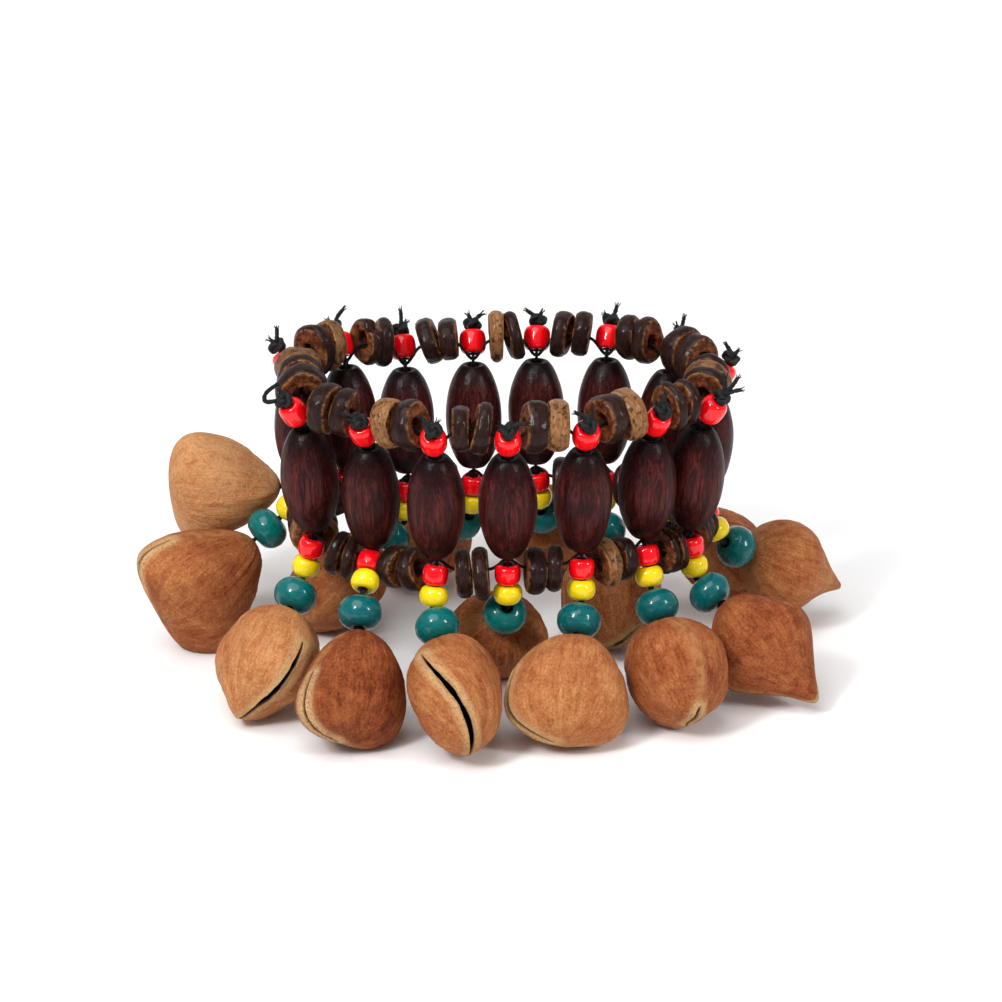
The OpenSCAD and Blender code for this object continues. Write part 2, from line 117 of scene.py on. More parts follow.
# --------------------------------------------------------------------------
# mesh collecting: parts are added in millimetres, with per-vertex values
# --------------------------------------------------------------------------
class Mesh:
    def __init__(self):
        self.v, self.q, self.t, self.n = [], [], [], 0
        self.att = {}

    def add(self, V, quads=(), tris=(), **att):
        V = np.asarray(V, float)
        quads = np.asarray(quads, np.int64).reshape(-1, 4)
        tris = np.asarray(tris, np.int64).reshape(-1, 3)
        # outward facing: the signed volume is positive
        T = np.vstack([tris, quads[:, [0, 1, 2]], quads[:, [0, 2, 3]]])
        vol = np.einsum("ij,ij->i", V[T[:, 0]], np.cross(V[T[:, 1]], V[T[:, 2]])).sum()
        if vol < 0:
            quads, tris = quads[:, ::-1], tris[:, ::-1]
        self.v.append(V)
        self.q.append(quads + self.n)
        self.t.append(tris + self.n)
        for name, val in att.items():
            val = np.asarray(val, float)
            if val.ndim == 0:
                val = np.full(len(V), float(val))
            self.att.setdefault(name, []).append((self.n, val))
        self.n += len(V)

    def build(self, name, material):
        V = np.vstack(self.v) * MM
        q = np.vstack(self.q)
        t = np.vstack(self.t)
        me = bpy.data.meshes.new(name)
        nl = len(q) * 4 + len(t) * 3
        me.vertices.add(len(V))
        me.vertices.foreach_set("co", V.astype(np.float32).ravel())
        me.loops.add(nl)
        me.loops.foreach_set("vertex_index", np.concatenate([q.ravel(), t.ravel()]).astype(np.int32))
        me.polygons.add(len(q) + len(t))
        start = np.concatenate([np.arange(len(q)) * 4, len(q) * 4 + np.arange(len(t)) * 3]).astype(np.int32)
        me.polygons.foreach_set("loop_start", start)
        me.update(calc_edges=True)
        me.validate()
        me.polygons.foreach_set("use_smooth", np.ones(len(me.polygons), bool))
        for an, parts in self.att.items():
            vec = parts[0][1].ndim == 2
            full = np.zeros((len(V), 3) if vec else len(V), np.float32)
            for s, val in parts:
                full[s:s + len(val)] = val
            a = me.attributes.new(an, "FLOAT_VECTOR" if vec else "FLOAT", "POINT")
            a.data.foreach_set("vector" if vec else "value", full.ravel())
        ob = bpy.data.objects.new(name, me)
        bpy.context.scene.collection.objects.link(ob)
        ob.data.materials.append(material)
        return ob


def grid_faces(rows, cols, wrap_rows, wrap_cols):
    r = np.arange(rows if wrap_rows else rows - 1)
    c = np.arange(cols if wrap_cols else cols - 1)
    R, C = np.meshgrid(r, c, indexing="ij")
    R, C = R.ravel(), C.ravel()
    R1, C1 = (R + 1) % rows, (C + 1) % cols
    return np.stack([R * cols + C, R * cols + C1, R1 * cols + C1, R1 * cols + C], 1)


def normals(V, Q, T=None):
    n = np.zeros_like(V)
    fn = np.cross(V[Q[:, 2]] - V[Q[:, 0]], V[Q[:, 3]] - V[Q[:, 1]])
    for j in range(4):
        np.add.at(n, Q[:, j], fn)
    if T is not None and len(T):
        fn = np.cross(V[T[:, 1]] - V[T[:, 0]], V[T[:, 2]] - V[T[:, 0]])
        for j in range(3):
            np.add.at(n, T[:, j], fn)
    return n / (np.linalg.norm(n, axis=1, keepdims=True) + 1e-12)


def lathe(mesh, centre, axis, profile, n, seed, wob=0.0, wob_scale=4.0, fine=0.0, fine_scale=(1, 1, 1), extra=None, **att):
    """A turned piece: closed section (r, z) swept round the axis, with a little unevenness."""
    x, y, a = axes_for(axis)
    prof = np.asarray(profile, float)
    th = np.arange(n) * TAU / n
    r = np.repeat(prof[:, 0], n)
    z = np.repeat(prof[:, 1], n)
    th = np.tile(th, len(prof))
    loc = np.stack([r * np.cos(th), r * np.sin(th), z], 1)
    k = np.ones(len(r))
    if wob:
        k += wob * noise(loc / wob_scale + seed * 17.3, seed)
    rr = r * k
    if fine:
        rr = rr + fine * noise(loc * np.asarray(fine_scale) + seed * 5.1, seed + 9)
    dz = np.zeros(len(r)) if extra is None else extra(th, r, z)
    L = np.stack([rr * np.cos(th), rr * np.sin(th), z + dz], 1)
    V = centre + L[:, :1] * x + L[:, 1:2] * y + L[:, 2:] * a
    mesh.add(V, grid_faces(len(prof), n, True, True), loc=loc, rnd=rnd(seed, 3), **{k2: (v(th, r, z) if callable(v) else v) for k2, v in att.items()})


def tube(mesh, path, radius, sides=10, lobes=0, pitch=1.6, depth=0.0, phase=0.0, cap=True, rndv=0.5, flat=None):
    """A round or two-ply tube along a path, with closed ends."""
    P = np.asarray(path, float)
    n = len(P)
    t = np.gradient(P, axis=0)
    t /= np.linalg.norm(t, axis=1, keepdims=True) + 1e-12
    s = np.concatenate([[0], np.cumsum(np.linalg.norm(np.diff(P, axis=0), axis=1))])
    x = np.zeros_like(P)
    x[0] = axes_for(t[0])[0]
    for i in range(1, n):
        v = x[i - 1] - t[i] * np.dot(x[i - 1], t[i])
        x[i] = v / (np.linalg.norm(v) + 1e-12)
    y = np.cross(t, x)
    ph = np.arange(sides) * TAU / sides
    rad = np.broadcast_to(np.asarray(radius, float), (n,))
    R = np.repeat(rad[:, None], sides, 1)
    if lobes:
        R = R * (1 - depth + depth * np.abs(np.cos((ph[None] - TAU * s[:, None] / pitch + phase) * lobes / 2)))
    V = P[:, None] + R[..., None] * (np.cos(ph)[None, :, None] * x[:, None] + np.sin(ph)[None, :, None] * y[:, None])
    loc = np.stack([np.repeat(s[:, None], sides, 1), np.repeat(ph[None] / TAU, n, 0), np.full((n, sides), rndv * 50)], -1)
    V = V.reshape(-1, 3)
    loc = loc.reshape(-1, 3)
    Q = grid_faces(n, sides, False, True)
    T = []
    if cap:
        a, b = len(V), len(V) + 1
        V = np.vstack([V, P[0] - t[0] * rad[0] * 0.5, P[-1] + t[-1] * rad[-1] * 0.5])
        loc = np.vstack([loc, loc[0], loc[-1]])
        for j in range(sides):
            j1 = (j + 1) % sides
            T += [[a, j1, j], [b, (n - 1) * sides + j, (n - 1) * sides + j1]]
    mesh.add(V, Q, T, loc=loc, rnd=rndv)


# --------------------------------------------------------------------------
# where the CAD pieces are: every bead of a node, as its own island
# --------------------------------------------------------------------------
def islands(node):
    me = frame["nodes"][node].data
    co = np.zeros(len(me.vertices) * 3)
    me.vertices.foreach_get("co", co)
    co = co.reshape(-1, 3) / MM
    key, inv = np.unique(np.round(co, 3), axis=0, return_inverse=True)
    inv = inv.reshape(-1)
    me.calc_loop_triangles()
    tr = np.zeros(len(me.loop_triangles) * 3, np.int32)
    me.loop_triangles.foreach_get("vertices", tr)
    tr = inv[tr].reshape(-1, 3)
    lab = np.arange(len(key))
    while True:
        m = lab[tr].min(1)
        new = lab.copy()
        for j in range(3):
            np.minimum.at(new, tr[:, j], m)
        new = new[new]
        if (new == lab).all():
            break
        lab = new
    out = []
    for g in np.unique(lab):
        T = tr[lab[tr[:, 0]] == g]
        # area-weighted centre and spread
        c = key[T].mean(1)
        w = np.linalg.norm(np.cross(key[T[:, 1]] - key[T[:, 0]], key[T[:, 2]] - key[T[:, 0]]), axis=1)
        m = (c * w[:, None]).sum(0) / w.sum()
        d = c - m
        ev, vec = np.linalg.eigh((d * w[:, None]).T @ d / w.sum())
        out.append({"c": m, "v": key[lab == g], "small": vec[:, 0], "large": vec[:, 2]})
    return out


def nearest(items, p, taken=None):
    d = [np.linalg.norm(i["c"] - p) for i in items]
    return items[int(np.argmin(d))]


yellow_i, lred_i, tred_i, barrel_i = (islands(n) for n in ("yellow_beads", "lower_red_beads", "top_red_beads", "barrel_beads"))
EYE_OUT, EYE_RISE, BAR_H = 1.05, 1.1, 9.9
AIM = np.array([1.2, 2.3, 31.4])                       # middle of the front view
CAM_R = np.array([1.0, 0, 0])
CAM_U = np.array([0, math.sin(math.radians(24)), math.cos(math.radians(24))])
joints = {j["name"]: j for j in frame["joints"]}
S = []
for k in range(1, 16):
    sw, sp = joints["swing_%02d" % k], joints["spin_%02d" % k]
    s = {"k": k, "pivot": np.array(sw["pos_m"]) / MM, "drop": unit(sp["axis"])}
    ax = np.array(sw["axis"])
    s["az"] = math.atan2(-ax[1], -ax[0])
    s["lean"] = math.atan2(s["drop"] @ np.array([math.sin(s["az"]), -math.cos(s["az"]), 0]), -s["drop"][2])
    s["yellow"] = nearest(yellow_i, s["pivot"])["c"]
    s["lred"] = nearest(lred_i, s["yellow"])["c"]
    s["low"] = unit(s["yellow"] - s["lred"])
    s["leye"] = s["lred"] - s["low"] * (EYE_OUT + 1.8)
    best = None
    for b in barrel_i:
        a = b["large"] * (1 if b["large"][2] > 0 else -1)
        foot = b["c"] - a * BAR_H
        d = np.linalg.norm(foot - s["leye"])
        if best is None or d < best[0]:
            best = (d, b["c"], a)
    s["bc"], s["ab"] = best[1], best[2]
    s["ueye"] = s["bc"] + s["ab"] * (BAR_H + EYE_RISE)
    s["tred"] = nearest(tred_i, s["ueye"] + np.array([0, 0, 2.0]))["c"]
    s["top"] = unit(s["tred"] - s["ueye"])
    h = np.array([s["top"][0], s["top"][1], 0])
    s["out"] = unit(h)
    s["knot"] = s["ueye"] + s["top"] * (EYE_OUT + 4.4 + 0.1)
    s["green"] = s["pivot"] + s["drop"] * (0.7 + 3.0)
    s["shell"] = s["pivot"] + s["drop"] * (0.7 + 6.0 + 0.35)
    S.append(s)


# --------------------------------------------------------------------------
# materials
# --------------------------------------------------------------------------
class Mat:
    def __init__(self, name):
        self.m = bpy.data.materials.new(name)
        self.m.use_nodes = True
        self.nt = self.m.node_tree
        self.nt.nodes.clear()
        self.out = self.nt.nodes.new("ShaderNodeOutputMaterial")
        self.b = self.nt.nodes.new("ShaderNodeBsdfPrincipled")
        self.nt.links.new(self.b.outputs[0], self.out.inputs[0])

    def node(self, kind, **props):
        n = self.nt.nodes.new(kind)
        for k, v in props.items():
            setattr(n, k, v)
        return n

    def link(self, a, b):
        self.nt.links.new(a, b)

    def attr(self, name, vec=False):
        n = self.node("ShaderNodeAttribute", attribute_name=name)
        return n.outputs["Vector"] if vec else n.outputs["Fac"]

    def val(self, sock, v):
        sock.default_value = v

    def mapping(self, vec, scale=(1, 1, 1), loc=(0, 0, 0)):
        n = self.node("ShaderNodeMapping")
        self.link(vec, n.inputs["Vector"])
        n.inputs["Scale"].default_value = scale
        n.inputs["Location"].default_value = loc
        return n.outputs[0]

    def shift(self, vec, fac, amount):
        """Moves the coordinates by a per-piece number."""
        c = self.node("ShaderNodeCombineXYZ")
        m = self.math("MULTIPLY", fac, amount)
        for i in range(3):
            self.link(m, c.inputs[i])
        a = self.node("ShaderNodeVectorMath", operation="ADD")
        self.link(vec, a.inputs[0])
        self.link(c.outputs[0], a.inputs[1])
        return a.outputs[0]

    def noise(self, vec, scale, detail=4, rough=0.55, dist=0.0):
        n = self.node("ShaderNodeTexNoise")
        self.link(vec, n.inputs["Vector"])
        n.inputs["Scale"].default_value = scale
        n.inputs["Detail"].default_value = detail
        n.inputs["Roughness"].default_value = rough
        n.inputs["Distortion"].default_value = dist
        return n.outputs["Fac"]

    def voronoi(self, vec, scale, feature="F1", out="Distance", randomness=1.0):
        n = self.node("ShaderNodeTexVoronoi", feature=feature)
        self.link(vec, n.inputs["Vector"])
        n.inputs["Scale"].default_value = scale
        n.inputs["Randomness"].default_value = randomness
        return n.outputs[out]

    def ramp(self, fac, stops, interp="LINEAR"):
        n = self.node("ShaderNodeValToRGB")
        n.color_ramp.interpolation = interp
        el = n.color_ramp.elements
        while len(el) < len(stops):
            el.new(0.5)
        for e, (p, c) in zip(el, stops):
            e.position = p
            e.color = (*c, 1) if len(c) == 3 else c
        self.link(fac, n.inputs[0])
        return n.outputs[0]

    def step(self, fac, a, b):
        n = self.node("ShaderNodeMapRange", interpolation_type="SMOOTHSTEP")
        self.link(fac, n.inputs["Value"])
        n.inputs["From Min"].default_value = a
        n.inputs["From Max"].default_value = b
        return n.outputs["Result"]

    def remap(self, fac, a, b, c, d):
        n = self.node("ShaderNodeMapRange")
        self.link(fac, n.inputs["Value"])
        for s, v in zip(("From Min", "From Max", "To Min", "To Max"), (a, b, c, d)):
            n.inputs[s].default_value = v
        return n.outputs["Result"]

    def math(self, op, a, b=None, clamp=False):
        n = self.node("ShaderNodeMath", operation=op, use_clamp=clamp)
        for i, v in enumerate((a, b)):
            if v is None:
                continue
            if isinstance(v, (int, float)):
                n.inputs[i].default_value = v
            else:
                self.link(v, n.inputs[i])
        return n.outputs[0]

    def mix(self, fac, a, b, blend="MIX"):
        n = self.node("ShaderNodeMix", data_type="RGBA", blend_type=blend)
        for i, v in ((0, fac), (6, a), (7, b)):
            if isinstance(v, (int, float)):
                n.inputs[i].default_value = v
            elif isinstance(v, (tuple, list)):
                n.inputs[i].default_value = (*v, 1)
            else:
                self.link(v, n.inputs[i])
        return n.outputs[2]

    def bump(self, height, strength, distance, normal=None):
        n = self.node("ShaderNodeBump")
        n.inputs["Strength"].default_value = strength
        n.inputs["Distance"].default_value = distance
        self.link(height, n.inputs["Height"])
        if normal is not None:
            self.link(normal, n.inputs["Normal"])
        return n.outputs[0]


def shell_material():
    m = Mat("nutshell")
    loc = m.shift(m.attr("loc", True), m.attr("rnd"), 90.0)
    mer = m.shift(m.attr("mer", True), m.attr("rnd"), 40.0)
    inner, rim, seam, tone = m.attr("inner"), m.attr("rim"), m.attr("seam"), m.attr("tone")
    big = m.noise(loc, 0.15, 3, 0.55, 0.5)
    mid = m.noise(loc, 0.62, 5, 0.62, 0.3)
    fine = m.noise(loc, 2.3, 5, 0.72)
    grit = m.noise(loc, 6.5, 3, 0.7)
    streak = m.noise(mer, 1.1, 5, 0.62, 0.35)
    fibre = m.noise(m.mapping(mer, (3.4, 3.4, 2.2)), 1.0, 4, 0.62, 0.5)
    f = m.math("ADD", tone, m.remap(big, 0.25, 0.75, -0.16, 0.16))
    f = m.math("ADD", f, m.remap(mid, 0.25, 0.75, -0.17, 0.17))
    f = m.math("ADD", f, m.remap(fine, 0.25, 0.75, -0.27, 0.27))
    f = m.math("ADD", f, m.remap(streak, 0.25, 0.75, -0.14, 0.14))
    f = m.math("ADD", f, m.remap(fibre, 0.25, 0.75, -0.13, 0.13))
    col = m.ramp(f, [(0.0, (0.125, 0.025, 0.008)), (0.25, (0.245, 0.056, 0.017)), (0.5, (0.375, 0.114, 0.037)), (0.75, (0.52, 0.208, 0.073)), (1.0, (0.66, 0.335, 0.145))])
    # reddish skin left in patches, dark pits, pale fibres
    col = m.mix(m.remap(mid, 0.54, 0.72, 0.0, 0.40), col, (0.27, 0.058, 0.018))
    col = m.mix(m.remap(grit, 0.36, 0.27, 0.0, 0.50), col, (0.11, 0.030, 0.014))
    col = m.mix(m.remap(grit, 0.64, 0.74, 0.0, 0.32), col, (0.62, 0.33, 0.14))
    # worn pale ridge along the seam, splintered pale lips at the slit
    ridge = m.math("MULTIPLY", seam, m.remap(mid, 0.35, 0.6, 0.10, 0.60), True)
    col = m.mix(ridge, col, (0.53, 0.25, 0.095))
    lips = m.math("MULTIPLY", rim, m.remap(fine, 0.34, 0.56, 0.25, 1.0), True)
    col = m.mix(lips, col, (0.64, 0.40, 0.19))
    # painted shade: the inside of the hollow shell is painted near-black in place of the shade inside the slit
    col = m.mix(inner, col, m.ramp(mid, [(0.3, (0.005, 0.0025, 0.002)), (0.7, (0.018, 0.008, 0.005))]))
    m.link(col, m.b.inputs["Base Color"])
    m.link(m.remap(fine, 0.3, 0.7, 0.50, 0.66), m.b.inputs["Roughness"])
    m.b.inputs["Specular IOR Level"].default_value = 0.10
    b1 = m.bump(fibre, 0.80, 0.00026)
    b2 = m.bump(fine, 0.95, 0.00034, b1)
    b3 = m.bump(grit, 0.60, 0.00012, b2)
    m.link(b3, m.b.inputs["Normal"])
    return m.m


def barrel_material():
    m = Mat("barrel_wood")
    loc = m.shift(m.attr("loc", True), m.attr("rnd"), 70.0)
    end = m.attr("end")
    warp = m.mapping(loc, (1.0, 1.0, 0.085))
    grain = m.noise(warp, 1.15, 5, 0.66, 1.1)
    pore = m.noise(m.mapping(loc, (1.0, 1.0, 0.13)), 3.6, 4, 0.66, 0.4)
    cloud = m.noise(loc, 0.17, 3, 0.5)
    col = m.ramp(grain, [(0.30, (0.0075, 0.0016, 0.0020)), (0.46, (0.036, 0.0050, 0.0054)), (0.60, (0.082, 0.0125, 0.0112)), (0.76, (0.140, 0.027, 0.021))])
    col = m.mix(m.remap(cloud, 0.42, 0.64, 0.0, 0.70), col, (0.016, 0.0036, 0.0040))
    col = m.mix(m.remap(pore, 0.54, 0.66, 0.0, 0.85), col, (0.0045, 0.0014, 0.0016))
    col = m.mix(m.remap(pore, 0.40, 0.28, 0.0, 0.40), col, (0.17, 0.048, 0.036))
    col = m.mix(m.math("MULTIPLY", m.step(end, 0.50, 0.98), 0.90), col, (0.0045, 0.0018, 0.0022))
    m.link(col, m.b.inputs["Base Color"])
    m.link(m.remap(pore, 0.3, 0.7, 0.30, 0.44), m.b.inputs["Roughness"])
    m.b.inputs["Specular IOR Level"].default_value = 0.05
    m.b.inputs["Coat Weight"].default_value = 0.15
    m.b.inputs["Coat Roughness"].default_value = 0.12
    chip = m.noise(loc, 1.1, 4, 0.65)
    b1 = m.bump(pore, 0.7, 0.00018)
    b2 = m.bump(chip, 0.30, 0.00026, b1)
    m.link(b2, m.b.inputs["Normal"])
    b3 = m.bump(pore, 0.30, 0.00012)
    b4 = m.bump(chip, 0.30, 0.00024, b3)
    m.link(b4, m.b.inputs["Coat Normal"])
    return m.m


def coco_material():
    m = Mat("coconut")
    loc = m.shift(m.attr("loc", True), m.attr("rnd"), 60.0)
    side, edge, tan = m.attr("side"), m.attr("edge"), m.attr("tan")
    flow = m.noise(m.mapping(loc, (0.40, 0.40, 1.5)), 1.2, 5, 0.65, 0.9)
    mid = m.noise(loc, 0.8, 5, 0.62, 0.4)
    fine = m.noise(loc, 3.2, 5, 0.68)
    pores = m.voronoi(loc, 1.5)
    dark = m.ramp(flow, [(0.28, (0.0045, 0.0016, 0.0016)), (0.5, (0.0150, 0.0050, 0.0044)), (0.72, (0.044, 0.0130, 0.0090))])
    dark = m.mix(m.remap(fine, 0.64, 0.78, 0.0, 0.25), dark, (0.12, 0.045, 0.018))
    dark = m.mix(m.remap(mid, 0.62, 0.72, 0.0, 0.35), dark, (0.070, 0.020, 0.009))
    pale = m.ramp(flow, [(0.3, (0.13, 0.050, 0.018)), (0.55, (0.29, 0.130, 0.048)), (0.75, (0.44, 0.225, 0.090))])
    pale = m.mix(m.remap(mid, 0.50, 0.62, 0.0, 0.92), pale, (0.030, 0.012, 0.008))
    sidec = m.mix(tan, dark, pale)
    face = m.ramp(mid, [(0.3, (0.024, 0.007, 0.004)), (0.5, (0.11, 0.030, 0.012)), (0.7, (0.30, 0.105, 0.036))])
    face = m.mix(m.remap(pores, 0.34, 0.14, 0.0, 0.85), face, (0.016, 0.006, 0.004))
    face = m.mix(m.remap(fine, 0.58, 0.7, 0.0, 0.45), face, (0.46, 0.22, 0.082))
    col = m.mix(side, face, sidec)
    rimf = m.math("MULTIPLY", edge, m.remap(mid, 0.42, 0.56, 0.0, 1.0), True)
    rimf = m.math("MULTIPLY", rimf, m.remap(tan, 0.0, 0.5, 0.62, 1.0))
    col = m.mix(rimf, col, m.ramp(fine, [(0.35, (0.22, 0.080, 0.025)), (0.65, (0.54, 0.27, 0.100))]))
    m.link(col, m.b.inputs["Base Color"])
    m.link(m.math("ADD", m.remap(side, 0, 1, 0.64, 0.36), m.remap(fine, 0.3, 0.7, -0.08, 0.10)), m.b.inputs["Roughness"])
    m.b.inputs["Specular IOR Level"].default_value = 0.08
    m.b.inputs["Coat Weight"].default_value = 0.16
    m.b.inputs["Coat Roughness"].default_value = 0.14
    b1 = m.bump(flow, 0.6, 0.00026)
    b2 = m.bump(fine, 0.6, 0.00018, b1)
    m.link(b2, m.b.inputs["Normal"])
    return m.m


def glass_material(name, deep, mid, light):
    m = Mat(name)
    loc = m.shift(m.attr("loc", True), m.attr("rnd"), 50.0)
    swirl = m.noise(m.mapping(loc, (0.5, 0.5, 1.3)), 0.7, 3, 0.55, 1.2)
    speck = m.noise(loc, 4.0, 3, 0.6)
    col = m.ramp(swirl, [(0.22, deep), (0.42, mid), (0.80, light)])
    col = m.mix(m.remap(speck, 0.62, 0.72, 0.0, 0.18), col, deep)
    # painted shade: the bore and the edge round the hole are darkened to near-black in place of the shade inside the
    # hole
    col = m.mix(m.math("MULTIPLY", m.attr("hole"), 0.85), col, tuple(c * 0.18 for c in deep))
    m.link(col, m.b.inputs["Base Color"])
    m.link(m.remap(speck, 0.3, 0.7, 0.09, 0.17), m.b.inputs["Roughness"])
    m.b.inputs["Specular IOR Level"].default_value = 0.20
    m.b.inputs["Coat Weight"].default_value = 0.60
    m.b.inputs["Coat Roughness"].default_value = 0.05
    m.b.inputs["Subsurface Weight"].default_value = 0.06
    m.b.inputs["Subsurface Radius"].default_value = (0.0012, 0.0005, 0.0004)
    m.link(m.bump(m.noise(loc, 0.9, 3, 0.5), 0.25, 0.00018), m.b.inputs["Normal"])
    return m.m


def green_material():
    m = Mat("green_wood")
    loc = m.shift(m.attr("loc", True), m.attr("rnd"), 50.0)
    grain = m.noise(m.mapping(loc, (0.35, 1.6, 1.6)), 1.0, 4, 0.6, 0.5)
    wear = m.noise(loc, 0.8, 4, 0.6)
    fine = m.noise(loc, 4.2, 3, 0.6)
    col = m.ramp(grain, [(0.25, (0.0002, 0.080, 0.082)), (0.5, (0.0003, 0.128, 0.124)), (0.78, (0.0006, 0.180, 0.165))])
    col = m.mix(m.remap(wear, 0.58, 0.74, 0.0, 0.35), col, (0.0002, 0.066, 0.074))
    tone = m.ramp(m.attr("rnd"), [(0.0, (0.72, 0.76, 0.86)), (0.6, (1.0, 1.0, 1.0)), (1.0, (1.3, 1.22, 1.08))])
    col = m.mix(1.0, col, tone, "MULTIPLY")
    col = m.mix(m.remap(fine, 0.68, 0.78, 0.0, 0.20), col, (0.012, 0.17, 0.15))
    # painted shade: the bore and the edge round the hole are darkened in place of the shade inside the hole
    col = m.mix(m.math("MULTIPLY", m.attr("hole"), 0.9), col, (0.0005, 0.010, 0.012))
    m.link(col, m.b.inputs["Base Color"])
    m.link(m.remap(wear, 0.3, 0.7, 0.22, 0.36), m.b.inputs["Roughness"])
    m.b.inputs["Specular IOR Level"].default_value = 0.12
    m.b.inputs["Coat Weight"].default_value = 0.55
    m.b.inputs["Coat Roughness"].default_value = 0.05
    b1 = m.bump(grain, 0.4, 0.00018)
    m.link(m.bump(fine, 0.2, 0.00006, b1), m.b.inputs["Normal"])
    return m.m


def cord_material(name, dark, light, rough):
    m = Mat(name)
    loc = m.attr("loc", True)
    w = m.node("ShaderNodeTexWave", wave_type="BANDS", bands_direction="DIAGONAL")
    m.link(m.mapping(loc, (2.4, 6.0, 0.0)), w.inputs["Vector"])
    w.inputs["Scale"].default_value = 1.0
    w.inputs["Distortion"].default_value = 1.2
    w.inputs["Detail"].default_value = 2.0
    fuzz = m.noise(m.mapping(loc, (3.0, 12.0, 1.0)), 1.2, 4, 0.65)
    col = m.mix(m.math("MULTIPLY", w.outputs["Fac"], m.remap(fuzz, 0.3, 0.7, 0.2, 1.0), True), dark, light)
    m.link(col, m.b.inputs["Base Color"])
    m.link(m.remap(fuzz, 0.3, 0.7, rough - 0.08, rough + 0.12), m.b.inputs["Roughness"])
    m.b.inputs["Specular IOR Level"].default_value = 0.30
    b1 = m.bump(w.outputs["Fac"], 0.6, 0.00012)
    m.link(m.bump(fuzz, 0.5, 0.00008, b1), m.b.inputs["Normal"])
    return m.m


MAT = {
    "shell": shell_material(),
    "barrel": barrel_material(),
    "coco": coco_material(),
    "red": glass_material("red_glass", (0.68, 0.0010, 0.003), (0.94, 0.0016, 0.0065), (0.98, 0.003, 0.010)),
    "yellow": glass_material("yellow_glass", (0.74, 0.50, 0.003), (0.88, 0.64, 0.005), (0.92, 0.70, 0.010)),
    "green": green_material(),
    "cord": cord_material("cord", (0.0016, 0.0020, 0.0022), (0.0065, 0.0085, 0.0095), 0.48),
    "elastic": cord_material("elastic", (0.0025, 0.0025, 0.0028), (0.010, 0.010, 0.010), 0.6),
}


def place(ob, body, slot, *nodes):
    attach(ob, body)
    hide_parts(*nodes)
    return ob


# --------------------------------------------------------------------------
# ring: barrels, glass beads, discs
# --------------------------------------------------------------------------
def barrel_profile():
    n = 44
    f = np.sin(np.linspace(-math.pi / 2, math.pi / 2, n))
    r = 2.1 + 3.15 * (1 - np.abs(f) ** 2.0) ** 0.74
    out = list(zip(r, f * BAR_H))
    top = [(1.95, BAR_H + 0.05), (1.6, BAR_H + 0.02), (1.25, BAR_H - 0.12), (0.98, BAR_H - 0.5), (0.9, BAR_H - 1.4)]
    bot = [(r0, -z0) for r0, z0 in reversed(top)]
    mid = [(0.9, z) for z in np.linspace(BAR_H - 3, -BAR_H + 3, 6)]
    return out + top + mid + bot


def bead_profile(d, h, sq, bore=0.85, n=26):
    """Section of a small bead: rounded sides, sq 2 is round and more is squarer, dished hole edges."""
    a = np.linspace(-math.pi / 2, math.pi / 2, n)
    w = d / 2 - bore - 0.35
    r = bore + 0.35 + w * np.sign(np.cos(a)) * np.abs(np.cos(a)) ** (2 / sq)
    z = h / 2 * np.sign(np.sin(a)) * np.abs(np.sin(a)) ** (2 / sq)
    out = list(zip(r, z))
    top = [(bore + 0.14, h / 2 - 0.06), (bore, h / 2 - 0.28), (bore - 0.04, h / 2 - 0.9)]
    bot = [(x, -y) for x, y in reversed(top)]
    return out + top + [(bore - 0.04, 0)] + bot


# painted shade: a mask over the bore and the dished edge round it, where the beads are painted darker in place of the
# shade inside the hole
def hole_shade_zone(bore, h):
    return lambda th, r, z: 1 - sm(r, bore + 0.05, bore + 0.42)


me = Mesh()
prof = barrel_profile()
for s in S:
    lathe(me, s["bc"], s["ab"], prof, 96, s["k"], wob=0.018, wob_scale=5.0, fine=0.035, fine_scale=(1.6, 1.6, 0.14),
          end=lambda th, r, z: np.abs(z) / BAR_H)
place(me.build("barrels", MAT["barrel"]), "ring", "barrel_wood", "barrel_beads")

me = Mesh()
for s in S:
    d = 4.95 * (1 + 0.05 * (rnd(s["k"], 21) - 0.5))
    lathe(me, s["tred"], s["top"], bead_profile(d, 4.5, 2.7), 56, 100 + s["k"], wob=0.03, wob_scale=3.0, hole=hole_shade_zone(0.85, 4.4))
place(me.build("top_reds", MAT["red"]), "ring", "red_glass", "top_red_beads")

me = Mesh()
for s in S:
    d = 4.75 * (1 + 0.06 * (rnd(s["k"], 22) - 0.5))
    lathe(me, s["lred"], s["low"], bead_profile(d, 3.65, 2.8), 56, 200 + s["k"], wob=0.03, wob_scale=3.0, hole=hole_shade_zone(0.85, 3.6))
place(me.build("lower_reds", MAT["red"]), "ring", "red_glass", "lower_red_beads")

me = Mesh()
for s in S:
    d = 5.2 * (1 + 0.03 * (rnd(s["k"], 23) - 0.5))
    lathe(me, s["yellow"], s["low"], bead_profile(d, 3.66, 2.15), 56, 300 + s["k"], wob=0.03, wob_scale=3.0, hole=hole_shade_zone(0.85, 3.8))
place(me.build("yellows", MAT["yellow"]), "ring", "yellow_glass", "yellow_beads")


